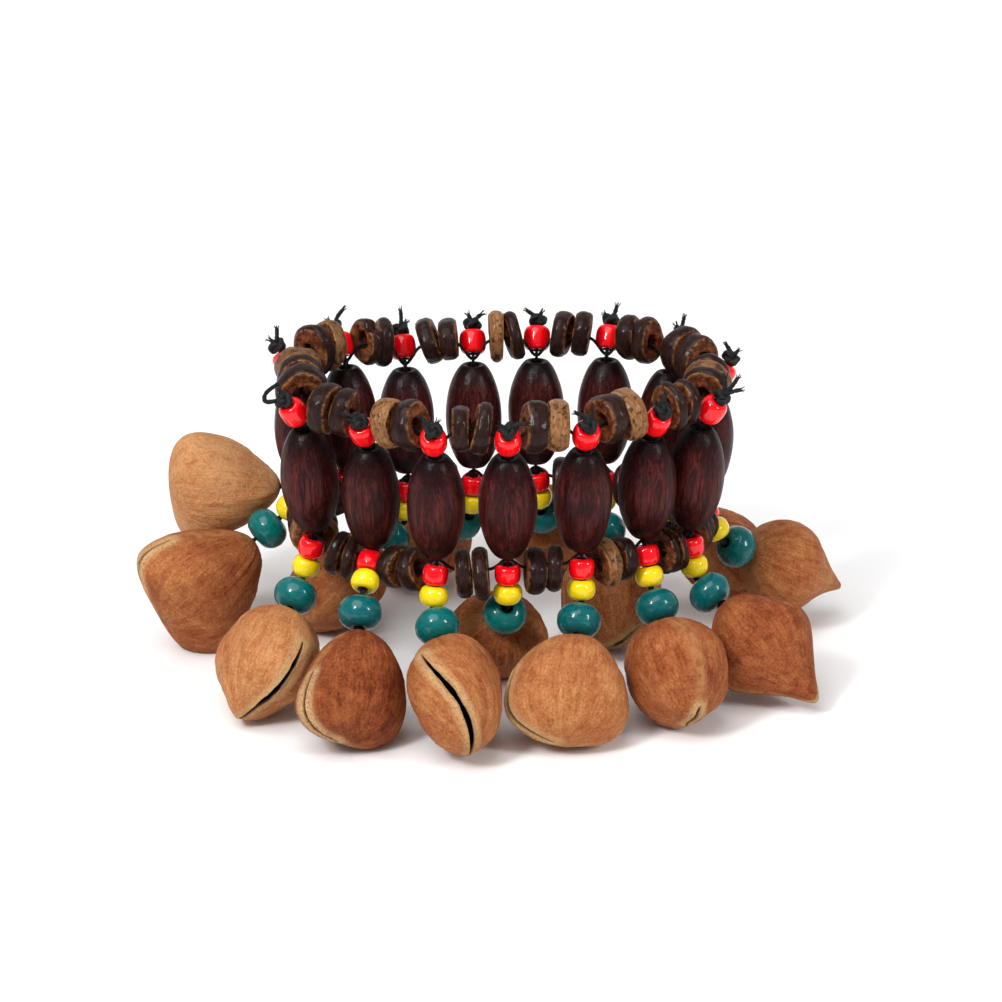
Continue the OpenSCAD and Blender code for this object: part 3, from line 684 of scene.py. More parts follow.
def disc(mesh, isl, seed, tan, notch):
    c, a = isl["c"], unit(isl["small"])
    ext = (isl["v"] - c) @ a
    t = ext.max() - ext.min()
    rad = np.linalg.norm((isl["v"] - c) - np.outer((isl["v"] - c) @ a, a), axis=1).max() * (1.06 + 0.12 * rnd(seed, 9))
    x, y, a = axes_for(a)
    # each hangs a little askew on the elastic
    lean, way = math.radians(26) * (rnd(seed, 10) - 0.5), TAU * rnd(seed, 11)
    a = unit(a * math.cos(lean) + (x * math.cos(way) + y * math.sin(way)) * math.sin(lean))
    x, y, a = axes_for(a)
    bore = 1.45 + 0.35 * rnd(seed, 5)
    ch = 0.26
    n = 84
    h = t / 2 * (0.96 + 0.12 * rnd(seed, 14))
    prof = []
    for u in np.linspace(-1, 1, 13):                      # crowned side
        prof.append((rad - 0.34 * abs(u) ** 2.4 - (ch * 0.5 if abs(u) == 1 else 0), u * (h - ch)))
    rs = rad - 0.34
    prof += [(rs - ch * 0.75, h - ch * 0.25), (rs - ch * 1.5, h)]
    for r in np.linspace(rs - 0.7, bore + 0.35, 6):
        prof.append((r, h - 0.06 * math.sin(4 * r)))
    prof += [(bore + 0.12, h - 0.10), (bore, h - 0.35)]
    for u in np.linspace(0.5, -0.5, 4):
        prof.append((bore, u * h))
    prof += [(bore, -h + 0.35), (bore + 0.12, -h + 0.10)]
    for r in np.linspace(bore + 0.35, rs - 0.7, 6):
        prof.append((r, -h + 0.06 * math.sin(3 * r)))
    prof += [(rs - ch * 1.5, -h), (rs - ch * 0.75, -h + ch * 0.25)]
    prof = np.array(prof)
    th = np.tile(np.arange(n) * TAU / n, len(prof))
    r = np.repeat(prof[:, 0], n)
    z = np.repeat(prof[:, 1], n)
    p0 = TAU * rnd(seed, 6)
    p1 = TAU * rnd(seed, 7)
    out = sm(r, bore + 0.2, rad - 0.3)
    k = 1 + out * (0.042 * np.sin(2 * th + p0) + 0.028 * np.sin(3 * th + p1) + 0.016 * np.sin(5 * th + p0 * 2))
    # a broken side, open towards the bore
    away = (th - notch[1] + math.pi) % TAU - math.pi
    k = k - notch[0] * out * np.exp(-(away / 0.34) ** 4)
    wedge = 1 + 0.30 * (rnd(seed, 8) - 0.35) * np.sin(th + p1)
    L = np.stack([r * k * np.cos(th), r * k * np.sin(th), z * wedge], 1)
    L[:, :2] += (1 - out)[:, None] * 0.35 * np.array([math.cos(p0), math.sin(p0)])
    face = (np.abs(np.abs(z) - h) < 0.12) & (r < rs - 0.4)
    L[:, 2] += np.where(face, -np.sign(z) * 0.22 * np.maximum(noise(L * 0.9 + seed * 3.7, seed), 0), 0)
    L += (0.13 * noise(L * 0.55 + seed * 11.0, seed + 4) + 0.05 * noise(L * 1.7 + seed * 5.0, seed + 9))[:, None] * np.stack([np.cos(th), np.sin(th), 0 * th], 1)
    V = c + L[:, :1] * x + L[:, 1:2] * y + L[:, 2:] * a
    side = sm(r, rs - 0.34, rs - 0.18)
    edge = np.exp(-((r - (rs - 0.26)) / 0.17) ** 2) * sm(np.abs(z), h * 0.76, h * 0.96)
    mesh.add(V, grid_faces(len(prof), n, True, True), loc=L, rnd=rnd(seed, 3), side=side, edge=edge, tan=tan)


# pale discs and broken ones: right and up from the middle of the view in millimetres as seen from the front
PALE = {"upper_discs": [(-19.8, 13.0), (12.4, 11.4), (-1.7, 25.5), (21.8, 15.4)], "lower_discs": [(-31.0, -4.5), (19.0, -8.0)]}
BROKEN = {"upper_discs": [(-23.7, 28.6), (21.8, 15.4)], "lower_discs": [(-8.0, -9.0)]}
for name, node, base in (("upper_discs", "upper_coco_discs", 400), ("lower_discs", "lower_coco_discs", 500)):
    me = Mesh()
    isl = sorted(islands(node), key=lambda i: math.atan2(i["c"][0], -i["c"][1]))
    seen = np.array([[i["c"][0] - AIM[0], (i["c"] - AIM) @ CAM_U] for i in isl])
    pale, broken = ({int(np.argmin(np.linalg.norm(seen - q, axis=1))) for q in want[name]} for want in (PALE, BROKEN))
    for j, i in enumerate(isl):
        tan = 0.95 if j in pale else (0.6 if rnd(base + j, 12) > 0.9 else 0.04 * rnd(base + j, 13) ** 2)
        disc(me, i, base + j, tan, (0.40 if j in broken else 0.0, TAU * rnd(base + j, 16)))
    place(me.build(name, MAT["coco"]), "ring", "coconut", node)

# --------------------------------------------------------------------------
# elastics and cords
# --------------------------------------------------------------------------
for name, node, eye, lift in (("upper_elastic_loop", "upper_elastic", "ueye", 3.4), ("lower_elastic_loop", "lower_elastic", "leye", -2.0)):
    pts = []
    for i in range(15):
        a, b = S[i][eye], S[(i + 1) % 15][eye]
        pts += [a, a * 0.75 + b * 0.25 + [0, 0, lift], a * 0.25 + b * 0.75 + [0, 0, lift]]
    P = catmull(pts, True, 8)
    me = Mesh()
    n, sides = len(P), 12
    t = np.roll(P, -1, 0) - np.roll(P, 1, 0)
    t /= np.linalg.norm(t, axis=1, keepdims=True)
    o = np.cross(t, [0, 0, 1.0])
    o /= np.linalg.norm(o, axis=1, keepdims=True)
    u = np.cross(o, t)
    ph = np.arange(sides) * TAU / sides
    seg = np.arange(n)[:, None]
    R = 0.31 * (1 - 0.10 + 0.10 * np.abs(np.cos((ph[None] + TAU * seg / 9) * 1.5)))
    V = P[:, None] + R[..., None] * (np.cos(ph)[None, :, None] * o[:, None] + np.sin(ph)[None, :, None] * u[:, None])
    ln = np.concatenate([[0], np.cumsum(np.linalg.norm(np.diff(P, axis=0), axis=1))])
    loc = np.stack([np.repeat(ln[:, None], sides, 1), np.repeat(ph[None] / TAU, n, 0), np.zeros((n, sides))], -1)
    me.add(V.reshape(-1, 3), grid_faces(n, sides, True, True), loc=loc.reshape(-1, 3), rnd=0.5)
    place(me.build(name, MAT["elastic"]), "ring", "elastic", node)


def ply_pair(mesh, P, spread, first, r, seed):
    """Two plies laid round each other along P; spread is half their distance, first the first ply's side."""
    P = np.asarray(P, float)
    t = np.gradient(P, axis=0)
    t /= np.linalg.norm(t, axis=1, keepdims=True)
    ln = np.concatenate([[0], np.cumsum(np.linalg.norm(np.diff(P, axis=0), axis=1))])
    x = np.zeros_like(P)
    x[0] = unit(first - t[0] * np.dot(first, t[0]))
    for i in range(1, len(P)):
        v = x[i - 1] - t[i] * np.dot(x[i - 1], t[i])
        x[i] = v / np.linalg.norm(v)
    y = np.cross(t, x)
    turn = spread["turn"](ln)
    off = spread["off"](ln)
    d = np.cos(turn)[:, None] * x + np.sin(turn)[:, None] * y
    for sgn in (1, -1):
        tube(mesh, P + sgn * off[:, None] * d, r, 9, rndv=rnd(seed + (sgn > 0), 15))


me = Mesh()
for s in S:
    a = s["knot"] + s["top"] * 0.3
    corner = [a, s["ueye"], s["leye"], s["pivot"] + s["low"] * 0.15]
    P, mark = [corner[0]], [0.0]
    seg = []
    for p, q in zip(corner[:-1], corner[1:]):
        m = max(int(np.linalg.norm(q - p) / 0.22), 4)
        for i in range(1, m + 1):
            P.append(p + (q - p) * i / m)
    P = np.array(P)
    # rounded corners at the two elastics
    for _ in range(6):
        P[1:-1] = 0.25 * P[:-2] + 0.5 * P[1:-1] + 0.25 * P[2:]
    l1 = np.linalg.norm(corner[1] - corner[0])
    l2 = l1 + np.linalg.norm(corner[2] - corner[1])

    def off(ln, l1=l1, l2=l2):
        e = np.maximum(np.exp(-((ln - l1) / 0.6) ** 2), np.exp(-((ln - l2) / 0.6) ** 2))
        return 0.24 + 0.36 * e

    def turn(ln, l1=l1, l2=l2):
        # whole half turns between the elastics, so that each passes between the plies
        return np.interp(ln, [0, l1 - 0.7, l1 + 0.7, l2 - 0.7, l2 + 0.7, l2 + 12], [-2.5 * math.pi, 0, 0, 9 * math.pi, 9 * math.pi, 14 * math.pi])

    ply_pair(me, P, {"off": off, "turn": turn}, s["out"], 0.28, 700 + s["k"])
place(me.build("strand_plies", MAT["cord"]), "ring", "cord", "strand_cords")


def overhand(c, axis, size, phase, n=110):
    """Centre line of an overhand knot, about size across, lying round the cord's axis."""
    x, y, a = axes_for(axis)
    t = np.linspace(0, TAU, n, endpoint=False)
    p = np.stack([np.sin(t) + 2 * np.sin(2 * t), np.cos(t) - 2 * np.cos(2 * t), -1.25 * np.sin(3 * t)], 1) * size / 6.0
    cs, sn = math.cos(phase), math.sin(phase)
    return c + (p[:, :1] * cs - p[:, 1:2] * sn) * x + (p[:, :1] * sn + p[:, 1:2] * cs) * y + p[:, 2:] * a


def knot_mesh(mesh, P, r, seed):
    n = len(P)
    t = np.roll(P, -1, 0) - np.roll(P, 1, 0)
    t /= np.linalg.norm(t, axis=1, keepdims=True)
    x = np.zeros_like(P)
    x[0] = axes_for(t[0])[0]
    for i in range(1, n):
        v = x[i - 1] - t[i] * np.dot(x[i - 1], t[i])
        x[i] = v / np.linalg.norm(v)
    # close the twist over the loop
    v = x[-1] - t[0] * np.dot(x[-1], t[0])
    v /= np.linalg.norm(v)
    ang = math.atan2(np.dot(np.cross(v, x[0]), t[0]), np.dot(v, x[0]))
    w = ang * np.arange(n) / n
    y = np.cross(t, x)
    x, y = np.cos(w)[:, None] * x + np.sin(w)[:, None] * y, -np.sin(w)[:, None] * x + np.cos(w)[:, None] * y
    sides = 12
    ph = np.arange(sides) * TAU / sides
    seg = np.arange(n)[:, None]
    R = r * (0.86 + 0.14 * np.abs(np.cos(ph[None] - TAU * seg / 22.0)))
    V = P[:, None] + R[..., None] * (np.cos(ph)[None, :, None] * x[:, None] + np.sin(ph)[None, :, None] * y[:, None])
    ln = np.concatenate([[0], np.cumsum(np.linalg.norm(np.diff(P, axis=0), axis=1))])
    loc = np.stack([np.repeat(ln[:, None], sides, 1), np.repeat(ph[None] / TAU, n, 0), np.full((n, sides), seed * 1.7)], -1)
    mesh.add(V.reshape(-1, 3), grid_faces(n, sides, True, True), loc=loc.reshape(-1, 3), rnd=rnd(seed, 3))


# tails of the knots: right and up steps in millimetres as seen from the front
TAILS = {
    1: [[(-2.9, -0.6), (-3.1, 0.8), (-1.4, 2.3)], [(-0.6, 1.3)]],
    2: [[(-1.4, 0.8), (-2.9, 1.2)], [(-1.8, 0.0)]],
    3: [[(-0.8, 1.2), (-1.7, 2.1)], [(0.8, 1.1)]],
    4: [[(1.5, 0.9), (3.1, 1.1)], [(-1.3, 0.8)]],
    5: [[(-0.9, 1.2), (-2.0, 1.6)], [(0.6, 1.6)]],
    6: [[(-0.3, 1.2), (0.3, 2.4)], [(-1.2, 0.9)]],
    7: [[(1.2, 1.5), (2.0, 3.0)], [(0.4, 1.7), (0.7, 3.2)], [(1.7, 0.6), (3.2, 0.9)]],
    8: [[(-0.6, 1.0), (-1.3, 1.9)], [(0.9, 1.0)]],
    9: [[(0.3, 1.2), (0.6, 2.4)], [(-0.9, 0.9)]],
    10: [[(0.6, 0.9), (0.9, 1.9)], [(-1.1, 0.6)]],
    11: [[(-1.0, 0.8), (-1.9, 1.4)], [(0.8, 1.2)]],
    12: [[(0.9, 0.8), (1.7, 1.4)], [(-0.7, 1.1)]],
    13: [[(0.1, 1.5), (0.0, 3.0)], [(0.9, 0.8)]],
    14: [[(0.7, 1.5), (1.8, 2.8)], [(-1.0, 0.9)]],
    15: [[(0.2, 1.3), (0.3, 2.6)], [(-1.3, 0.7)]],
}
me = Mesh()
for s in S:
    k = s["k"]
    c = s["knot"] + s["top"] * 1.15
    knot_mesh(me, overhand(c, s["top"], 2.7, TAU * rnd(k, 31)), 0.60, 800 + k)
    knot_mesh(me, overhand(c - s["top"] * 0.15, axes_for(s["top"])[0] * 0.8 + s["top"] * 0.6, 2.0, TAU * rnd(k, 32)), 0.5, 820 + k)
    for j, tail in enumerate(TAILS[k]):
        pts = [c + s["top"] * 0.2] + [c + s["top"] * 0.4 + CAM_R * x + CAM_U * y + s["out"] * 0.5 * (rnd(k * 5 + j, 33) - 0.5) * (i + 1) for i, (x, y) in enumerate(tail)]
        P = catmull(pts, False, 9)
        n = len(P)
        rad = 0.46 * (1 - 0.12 * np.linspace(0, 1, n)) * (1 + 0.10 * noise(np.stack([np.arange(n) * 0.5, np.full(n, k * 3.1), np.full(n, j * 2.3)], 1), 5))
        tube(me, P, rad, 12, lobes=2, pitch=1.5, depth=0.22, rndv=rnd(k * 7 + j, 34))
        # frayed fibres at the cut end
        d = unit(P[-1] - P[-3])
        for f in range(5):
            x, y, a = axes_for(d)
            ang = TAU * (f / 5 + rnd(k * 11 + j * 3 + f, 35) * 0.15)
            w = np.cos(ang) * x + np.sin(ang) * y
            L = 0.35 + 0.55 * rnd(k * 17 + j * 5 + f, 36)
            q = [P[-1] - d * 0.35 + w * 0.18, P[-1] + d * 0.15 + w * 0.26, P[-1] + d * (0.15 + L) + w * (0.28 + 0.35 * rnd(k + f, 37))]
            tube(me, catmull(q, False, 4), np.linspace(0.16, 0.07, 9), 7, rndv=rnd(f, 38))
place(me.build("top_knot_cords", MAT["cord"]), "ring", "cord", "top_knots")


# --------------------------------------------------------------------------
# hanging pieces
# --------------------------------------------------------------------------
def hang_axes(s, turn=0.0):
    """Columns turn a hanging piece's own X, Y, Z into the part frame."""
    az, le, tu = s["az"], s["lean"], -math.radians(turn)
    rz = np.array([[math.cos(az), -math.sin(az), 0], [math.sin(az), math.cos(az), 0], [0, 0, 1]])
    rx = np.array([[1, 0, 0], [0, math.cos(-le), -math.sin(-le)], [0, math.sin(-le), math.cos(-le)]])
    rt = np.array([[math.cos(tu), -math.sin(tu), 0], [math.sin(tu), math.cos(tu), 0], [0, 0, 1]])
    return rz @ rx @ rt


for s in S:
    k = s["k"]
    me = Mesh()
    d = 8.0 * (1 + 0.02 * (rnd(k, 24) - 0.5))
    lathe(me, s["green"], s["drop"], bead_profile(d, 5.78, 2.02, 0.9, 34), 80, 600 + k, wob=0.022, wob_scale=4.0, fine=0.03,
          fine_scale=(0.6, 1.8, 1.8), hole=hole_shade_zone(0.9, 6.0))
    place(me.build("green_%02d" % k, MAT["green"]), "drop_%02d" % k, "green_wood", "green_bead_%02d" % k)

    me = Mesh()
    n = 70
    end = s["shell"] + s["drop"] * 3.0
    P = s["pivot"] + np.linspace(0, 1, n)[:, None] * (end - s["pivot"])
    ply_pair(me, P, {"off": lambda ln: np.full(len(ln), 0.24), "turn": lambda ln: ln * 2.4}, axes_for(s["drop"])[0], 0.30, 740 + k)
    knot_mesh(me, overhand(s["shell"] + s["drop"] * 3.2, s["drop"], 2.3, TAU * rnd(k, 41)), 0.5, 840 + k)
    tube(me, catmull([s["pivot"] - s["low"] * 0.5, s["pivot"] - s["low"] * 0.1, s["pivot"] + s["drop"] * 0.25, s["pivot"] + s["drop"] * 0.8], False, 6), 0.5, 12, lobes=2, pitch=1.6, depth=0.2)
    place(me.build("drop_plies_%02d" % k, MAT["cord"]), "drop_%02d" % k, "cord", "drop_cord_%02d" % k)

# Nutshells, one row each: turn on the cord, length, width, thickness, narrowing of the top,
# slit from and to, half width of the slit, how far each valve's lip is set back there,
# angle, size and width of the pointed corner, twist of the seam, tone from dark to light
SHELLS = {
    1: (35, 22, 21, 17, 0.13, 75, 195, 0.60, 0.0, 0.5, 188, 0.10, 15, 0, 0.75),
    2: (-45, 22, 19.9, 16.6, 0.36, 190, 275, 0.16, 0.25, -0.1, 228, 0.08, 20, 8, 0.27),
    3: (122, 22.5, 19.0, 16.3, 0.13, 60, 195, 0.44, 0.3, 0.0, 180, 0.05, 18, 60, 0.58),
    4: (5, 20, 19.5, 15.5, 0.13, 120, 195, 0.50, 0.2, 0.2, 180, 0.05, 18, 0, 0.50),
    5: (-25, 21.5, 22, 17, 0.20, 185, 280, 0.20, 0.45, -0.15, 232, 0.05, 24, -6, 0.66),
    6: (85, 20.5, 20, 18, 0.13, 158, 196, 0.42, 0.5, 0.5, 168, 0.06, 14, 5, 0.45),
    7: (35, 22.5, 21, 17.5, 0.30, 168, 192, 0.22, 0.1, 0.1, 180, 0.22, 22, -6, 0.36),
    8: (60, 21.5, 18.2, 15.6, 0.06, 155, 205, 0.22, 0.1, 0.1, 180, 0.22, 20, 4, 0.61),
    9: (25, 21, 19, 16, 0.13, 105, 195, 0.60, 0.3, 0.0, 185, 0.07, 17, 6, 0.50),
    10: (40, 21, 20, 16, 0.13, 150, 210, 0.50, 0.2, 0.0, 180, 0.07, 17, -5, 0.56),
    11: (0, 21, 20, 16.5, 0.13, 105, 195, 0.60, 0.3, 0.0, 185, 0.07, 17, 8, 0.50),
    12: (0, 21, 20, 16, 0.13, 165, 255, 0.60, 0.4, 0.0, 190, 0.07, 17, -8, 0.60),
    13: (25, 21, 19.5, 16, 0.13, 165, 240, 0.60, 0.3, 0.0, 190, 0.07, 17, 5, 0.50),
    14: (90, 21.5, 19, 16, 0.42, 240, 285, 0.25, 0.2, 0.2, 150, 0.06, 25, 0, 0.90),
    15: (90, 23.5, 23, 17, 0.42, 90, 150, 0.25, 0.2, 0.2, 205, 0.08, 22, 0, 0.50),
}
CONE = {1: 0.18, 7: 0.62, 8: 0.60}
FAN = {2: 0.05, 14: 0.075, 15: 0.095}                    # fuller lower corners
OUT_S = np.array([1, 0.996, 0.988, 0.975, 0.957, 0.935, 0.908, 0.877, 0.842, 0.802, 0.757, 0.707, 0.652, 0.592, 0.527, 0.457, 0.382, 0.302, 0.222, 0.142, 0.07])
IN_S = np.array([1, 0.985, 0.96, 0.92, 0.86, 0.78, 0.67, 0.53, 0.36, 0.18])
# the lip between outside and inside: share of the wall, how far it bulges into the slit
LIP = [(0.10, 0.10), (0.30, 0.16), (0.60, 0.14), (0.88, 0.05)]


def shell_mesh(k, row):
    turn, L, W, T, taper, sa, sb, sh, back_f, back_b, beak_t, beak, beak_w, twist, tone = row
    n = 240
    tdeg = np.arange(n) * 360.0 / n
    tr = np.radians(tdeg)
    wall = 1.35
    c = np.array([0, 0.46 * L])
    p0, p1 = TAU * rnd(k, 51), TAU * rnd(k, 52)
    uneven = 1 + 0.018 * np.sin(2 * tr + p0) + 0.014 * np.sin(3 * tr + p1) + 0.005 * np.sin(7 * tr + p0)
    near_top = 1 - np.exp(-(((tdeg + 180) % 360 - 180) / 26.0) ** 2)
    uneven = 1 + (uneven - 1) * near_top
    tip = beak * np.exp(-((tdeg - beak_t) / beak_w) ** 2) - 0.30 * beak * (
        np.exp(-((tdeg - beak_t - 2.6 * beak_w) / (1.3 * beak_w)) ** 2) + np.exp(-((tdeg - beak_t + 2.6 * beak_w) / (1.3 * beak_w)) ** 2))
    E = np.stack([W / 2 * np.sin(tr) * (1 - taper * np.cos(tr)), L / 2 * (1 - np.cos(tr))], 1) - c
    corners = FAN.get(k, 0.0) * (np.exp(-((tdeg - 122) / 26.0) ** 2) + np.exp(-((tdeg - 238) / 26.0) ** 2) - 0.5 * np.exp(-((tdeg - 180) / 30.0) ** 2))
    E = E * (uneven + tip + corners)[:, None]
    En = np.linalg.norm(E, axis=1)
    x = np.clip((tdeg - sa) / (sb - sa), 0, 1)
    inside = (tdeg > sa) & (tdeg < sb)
    prof = np.sin(math.pi * x) ** 0.75
    rag = 1 + 0.35 * noise(np.stack([tdeg * 0.13, np.full(n, k * 3.3), np.zeros(n)], 1), 61)
    gap = 0.12 + np.where(inside, sh * prof * rag, 0)
    lipped = np.where(inside, prof, 0) ** 0.6
    q = 1 / (1.75 + 0.25 * np.cos(tr))

    def ring(s, side, inset, v):
        set_back = (back_f if side == 1 else back_b) * lipped
        f = s * (1 - (inset + set_back * s ** 6) / En)
        P = c + E * f[:, None]
        return np.stack([P[:, 0], -side * v, -P[:, 1]], 1)

    def valve(rows, side, inset):
        out = []
        for s in rows:
            v = (T / 2 - inset) * (1 - s ** 2.4) ** q
            if inset == 0:
                # a shallow trough beside the closed seam, a swollen lip at the slit, a flatter middle
                v = v - 0.20 * np.exp(-((s - 0.965) / 0.018) ** 2) * (1 - lipped) - 0.10 * np.exp(-((s - 0.90) / 0.05) ** 2)
                v = v + 0.32 * lipped * np.exp(-((s - 0.962) / 0.026) ** 2)
                v = v - 0.35 * np.exp(-(s / 0.45) ** 2) * (0.5 + 0.5 * rnd(k + 3 * side, 53))
            v = np.maximum(v, gap + (0.16 * lipped if inset == 0 else 0)) if s < 1 else gap + (0.16 * lipped if inset == 0 else 0)
            out.append(ring(s, side, inset, v))
        return np.array(out)

    A, B = valve(OUT_S, 1, 0.0), valve(OUT_S, -1, 0.0)
    a, b = valve(IN_S, 1, wall), valve(IN_S, -1, wall)
    ro, ri = len(OUT_S), len(IN_S)
    j = np.arange(n)
    m = (j + 1) % n
    mid = (j + 0.5) * 360.0 / n
    op = (mid > sa) & (mid < sb)
    jo, mo, jc, mc = j[op], m[op], j[~op], m[~op]
    cols = np.append(jo, mo[-1])                 # columns of the open slit
    nc = len(cols)
    lips_f = [ring(1.0, 1, wall * f, gap + (0.06 - bulge) * lipped)[cols] for f, bulge in LIP]
    lips_b = [ring(1.0, -1, wall * f, gap + (0.06 - bulge) * lipped)[cols] for f, bulge in LIP]
    parts = [A.reshape(-1, 3), A[-1].mean(0)[None], B.reshape(-1, 3), B[-1].mean(0)[None],
             a.reshape(-1, 3), a[-1].mean(0)[None], b.reshape(-1, 3), b[-1].mean(0)[None], np.vstack(lips_f), np.vstack(lips_b)]
    V = np.vstack(parts)
    fo, bo = 0, ro * n + 1
    fi, bi = 2 * bo, 2 * bo + ri * n + 1
    lf = bi + ri * n + 1
    lb = lf + len(LIP) * nc
    Q, Tt = [], []

    def surf(base, rows, flip):
        g = grid_faces(rows, n, False, True) + base
        Q.append(g[:, ::-1] if flip else g)
        tri = np.stack([base + (rows - 1) * n + j, base + (rows - 1) * n + m, np.full(n, base + rows * n)], 1)
        Tt.append(tri[:, ::-1] if flip else tri)

    surf(fo, ro, False)
    surf(bo, ro, True)
    surf(fi, ri, True)
    surf(bi, ri, False)
    i = np.arange(nc - 1)
    front = [fo + cols] + [lf + r * nc + np.arange(nc) for r in range(len(LIP))] + [fi + cols]
    rear = [bo + cols] + [lb + r * nc + np.arange(nc) for r in range(len(LIP))] + [bi + cols]
    for r in range(len(front) - 1):
        Q.append(np.stack([front[r][i + 1], front[r][i], front[r + 1][i], front[r + 1][i + 1]], 1))
        Q.append(np.stack([rear[r][i], rear[r][i + 1], rear[r + 1][i + 1], rear[r + 1][i]], 1))
        Q.append(np.array([[front[r][0], rear[r][0], rear[r + 1][0], front[r + 1][0]],
                           [rear[r][-1], front[r][-1], front[r + 1][-1], rear[r + 1][-1]]]))
    Q.append(np.stack([fo + mc, fo + jc, bo + jc, bo + mc], 1))
    Q.append(np.stack([fi + jc, fi + mc, bi + mc, bi + jc], 1))
    Q = np.vstack(Q)
    Tt = np.vstack(Tt)
    n_out = 2 * bo
    nv = len(V)
    # uneven growth on the outside, moved along the surface
    N = normals(V, Q, Tt)
    vol = np.einsum("ij,ij->i", V[Tt[:, 0]], np.cross(V[Tt[:, 1]], V[Tt[:, 2]])).sum() + sum(
        np.einsum("ij,ij->i", V[Q[:, x0]], np.cross(V[Q[:, x1]], V[Q[:, x2]])).sum() for x0, x1, x2 in ((0, 1, 2), (0, 2, 3)))
    if vol < 0:
        N = -N
    lip_s = np.full(2 * len(LIP) * nc, 1.0)
    sv = np.concatenate([np.repeat(OUT_S, n), [0], np.repeat(OUT_S, n), [0], np.repeat(IN_S, n), [0], np.repeat(IN_S, n), [0], lip_s])
    tv = np.concatenate([np.tile(tdeg, ro), [0], np.tile(tdeg, ro), [0], np.tile(tdeg, ri), [0], np.tile(tdeg, ri), [0], np.tile(tdeg[cols], 2 * len(LIP))])
    outer = np.arange(nv) < n_out
    is_lip = np.arange(nv) >= lf
    # lengthwise direction: from the cord hole down to the tip, as angle round the cord's axis and depth
    ang = np.arctan2(V[:, 1], V[:, 0])
    depth = -V[:, 2]
    rad = np.hypot(V[:, 0], V[:, 1])
    mer = np.stack([np.cos(ang) * 7.0, np.sin(ang) * 7.0, depth * 0.16], 1)
    lump = 0.24 * noise(V / 6.5 + k * 9.1, 71) + 0.11 * noise(V / 2.6 + k * 5.7, 72)
    ribs = 0.135 * noise(mer * [1.5, 1.5, 1.0] + k * 3.3, 73) * sm(rad, 1.0, 5.0)
    grit = 0.030 * noise(V * 1.5 + k, 74)
    edge_keep = 1 - 0.75 * sm(sv, 0.95, 1.0)
    V = V + N * np.where(outer, (lump + ribs + grit) * edge_keep, 0)[:, None]
    # some shells narrow to a cone below the middle
    V[:, :2] *= (1 - CONE.get(k, 0.0) * sm(-V[:, 2], 0.42 * L, 1.12 * L))[:, None]
    loc = V.copy()
    # the seam winds a little round the cord's axis
    w = -np.radians(twist) * (0.5 - np.clip(-V[:, 2] / L, 0, 1))
    V = np.stack([V[:, 0] * np.cos(w) - V[:, 1] * np.sin(w), V[:, 0] * np.sin(w) + V[:, 1] * np.cos(w), V[:, 2]], 1)
    xin = np.clip((tv - sa) / (sb - sa), 0, 1)
    lip = np.where((tv > sa) & (tv < sb), np.sin(math.pi * xin) ** 0.35, 0)
    ends = np.exp(-((tv - sa) / 6.0) ** 2) + 0.6 * np.exp(-((tv - sb) / 6.0) ** 2)
    rim = np.where(outer, np.clip(lip + ends, 0, 1) * sm(sv, 0.950, 0.992), 0)
    rim = np.where(is_lip, 1.0, rim)
    seam = np.where(outer, sm(sv, 0.970, 0.998) * (1 - lip), 0)
    # painted shade: the inside surfaces, and the lip rows more and more deeply into the slit, get the near-black
    # painted shade of the hollow
    inner = np.where(outer, 0, 1.0)
    lip_in = np.repeat([f for f, bulge in LIP], nc)
    inner[lf:] = np.concatenate([lip_in, lip_in]) ** 0.7
    return V, Q, Tt, dict(loc=loc, mer=mer, rim=rim, seam=seam, inner=inner, tone=tone)


for s in S:
    k = s["k"]
    row = SHELLS[k]
    V, Q, Tt, att = shell_mesh(k, row)
    R = hang_axes(s, row[0])
    Wd = s["shell"] + V @ R.T
    # nothing reaches below the table
    Wd[:, 2] = np.where(Wd[:, 2] < 0.25, 0.03 + 0.22 * np.exp((Wd[:, 2] - 0.25) / 0.22), Wd[:, 2])
    me = Mesh()
    me.add(Wd, Q, Tt, rnd=rnd(k, 3), **att)
    place(me.build("shell_%02d" % k, MAT["shell"]), "shell_%02d" % k, "nutshell", "nutshell_%02d" % k)

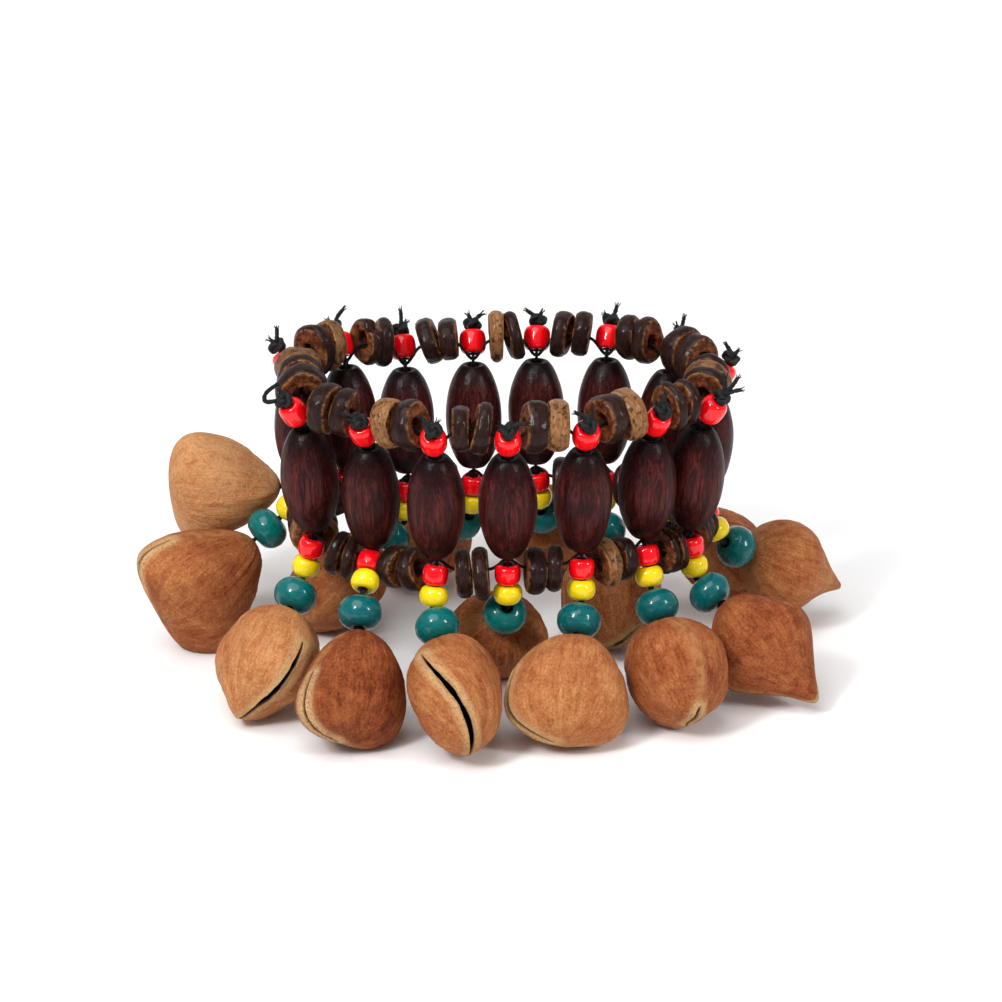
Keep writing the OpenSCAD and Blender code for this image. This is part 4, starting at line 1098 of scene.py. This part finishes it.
# --------------------------------------------------------------------------
# floor, light, camera
# --------------------------------------------------------------------------
fm = Mat("floor")
co = fm.node("ShaderNodeTexCoord").outputs["Object"]
fl = fm.noise(co, 6.0, 3, 0.5)
fm.link(fm.ramp(fl, [(0.3, (0.90, 0.90, 0.90)), (0.7, (0.93, 0.93, 0.93))]), fm.b.inputs["Base Color"])
fm.b.inputs["Roughness"].default_value = 0.9
fm.b.inputs["Specular IOR Level"].default_value = 0.1
n = 40
me = bpy.data.meshes.new("floor")
pts, faces = [], []
prof = [(-1.6, 0.0), (1.2, 0.0)] + [(1.2 + 0.6 * math.sin(a), 0.6 - 0.6 * math.cos(a)) for a in np.linspace(0.1, math.pi / 2, 12)] + [(1.8, 3.0)]
for y, z in prof:
    pts += [(-3.0, y, z), (3.0, y, z)]
for i in range(len(prof) - 1):
    faces.append((2 * i, 2 * i + 1, 2 * i + 3, 2 * i + 2))
me.from_pydata(pts, [], faces)
for p in me.polygons:
    p.use_smooth = True
floor = bpy.data.objects.new("floor", me)
bpy.context.scene.collection.objects.link(floor)
floor.data.materials.append(fm.m)

world = bpy.data.worlds.new("studio")
bpy.context.scene.world = world
world.use_nodes = True
bg = world.node_tree.nodes["Background"]
bg.inputs[0].default_value = (1.0, 1.0, 1.0, 1)
bg.inputs[1].default_value = 0.34


def area(name, loc, aim, size, power, size_y=None):
    li = bpy.data.lights.new(name, "AREA")
    li.energy = power
    li.shape = "RECTANGLE"
    li.size = size
    li.size_y = size_y or size
    ob = bpy.data.objects.new(name, li)
    bpy.context.scene.collection.objects.link(ob)
    ob.location = loc
    ob.rotation_mode = "QUATERNION"
    ob.rotation_quaternion = (Vector(aim) - Vector(loc)).to_track_quat("-Z", "Y")
    return ob


area("key", (-0.42, -0.50, 0.62), (0, 0, 0.03), 0.15, 3.9, 0.22)
area("right", (0.55, -0.38, 0.42), (0, 0, 0.03), 0.11, 2.0, 0.24)
sun = bpy.data.lights.new("sky", "SUN")
sun.energy = 1.75
sun.angle = math.radians(50)
sob = bpy.data.objects.new("sky", sun)
bpy.context.scene.collection.objects.link(sob)
sob.rotation_mode = "QUATERNION"
sob.rotation_quaternion = Vector((0.28, 0.30, -1.0)).to_track_quat("-Z", "Y")

el = math.radians(24)
target = Vector(AIM * MM)
backv = Vector((0, -math.cos(el), math.sin(el)))
cam = bpy.data.cameras.new("camera")
cam.lens = 4360 / 1002 * 36
cam.sensor_width = 36
cam.clip_start, cam.clip_end = 0.01, 20
cob = bpy.data.objects.new("camera", cam)
bpy.context.scene.collection.objects.link(cob)
cob.location = target + backv * 0.8
cob.rotation_mode = "QUATERNION"
cob.rotation_quaternion = (-backv).to_track_quat("-Z", "Y")
bpy.context.scene.camera = cob
bpy.context.scene.view_settings.view_transform = "Standard"
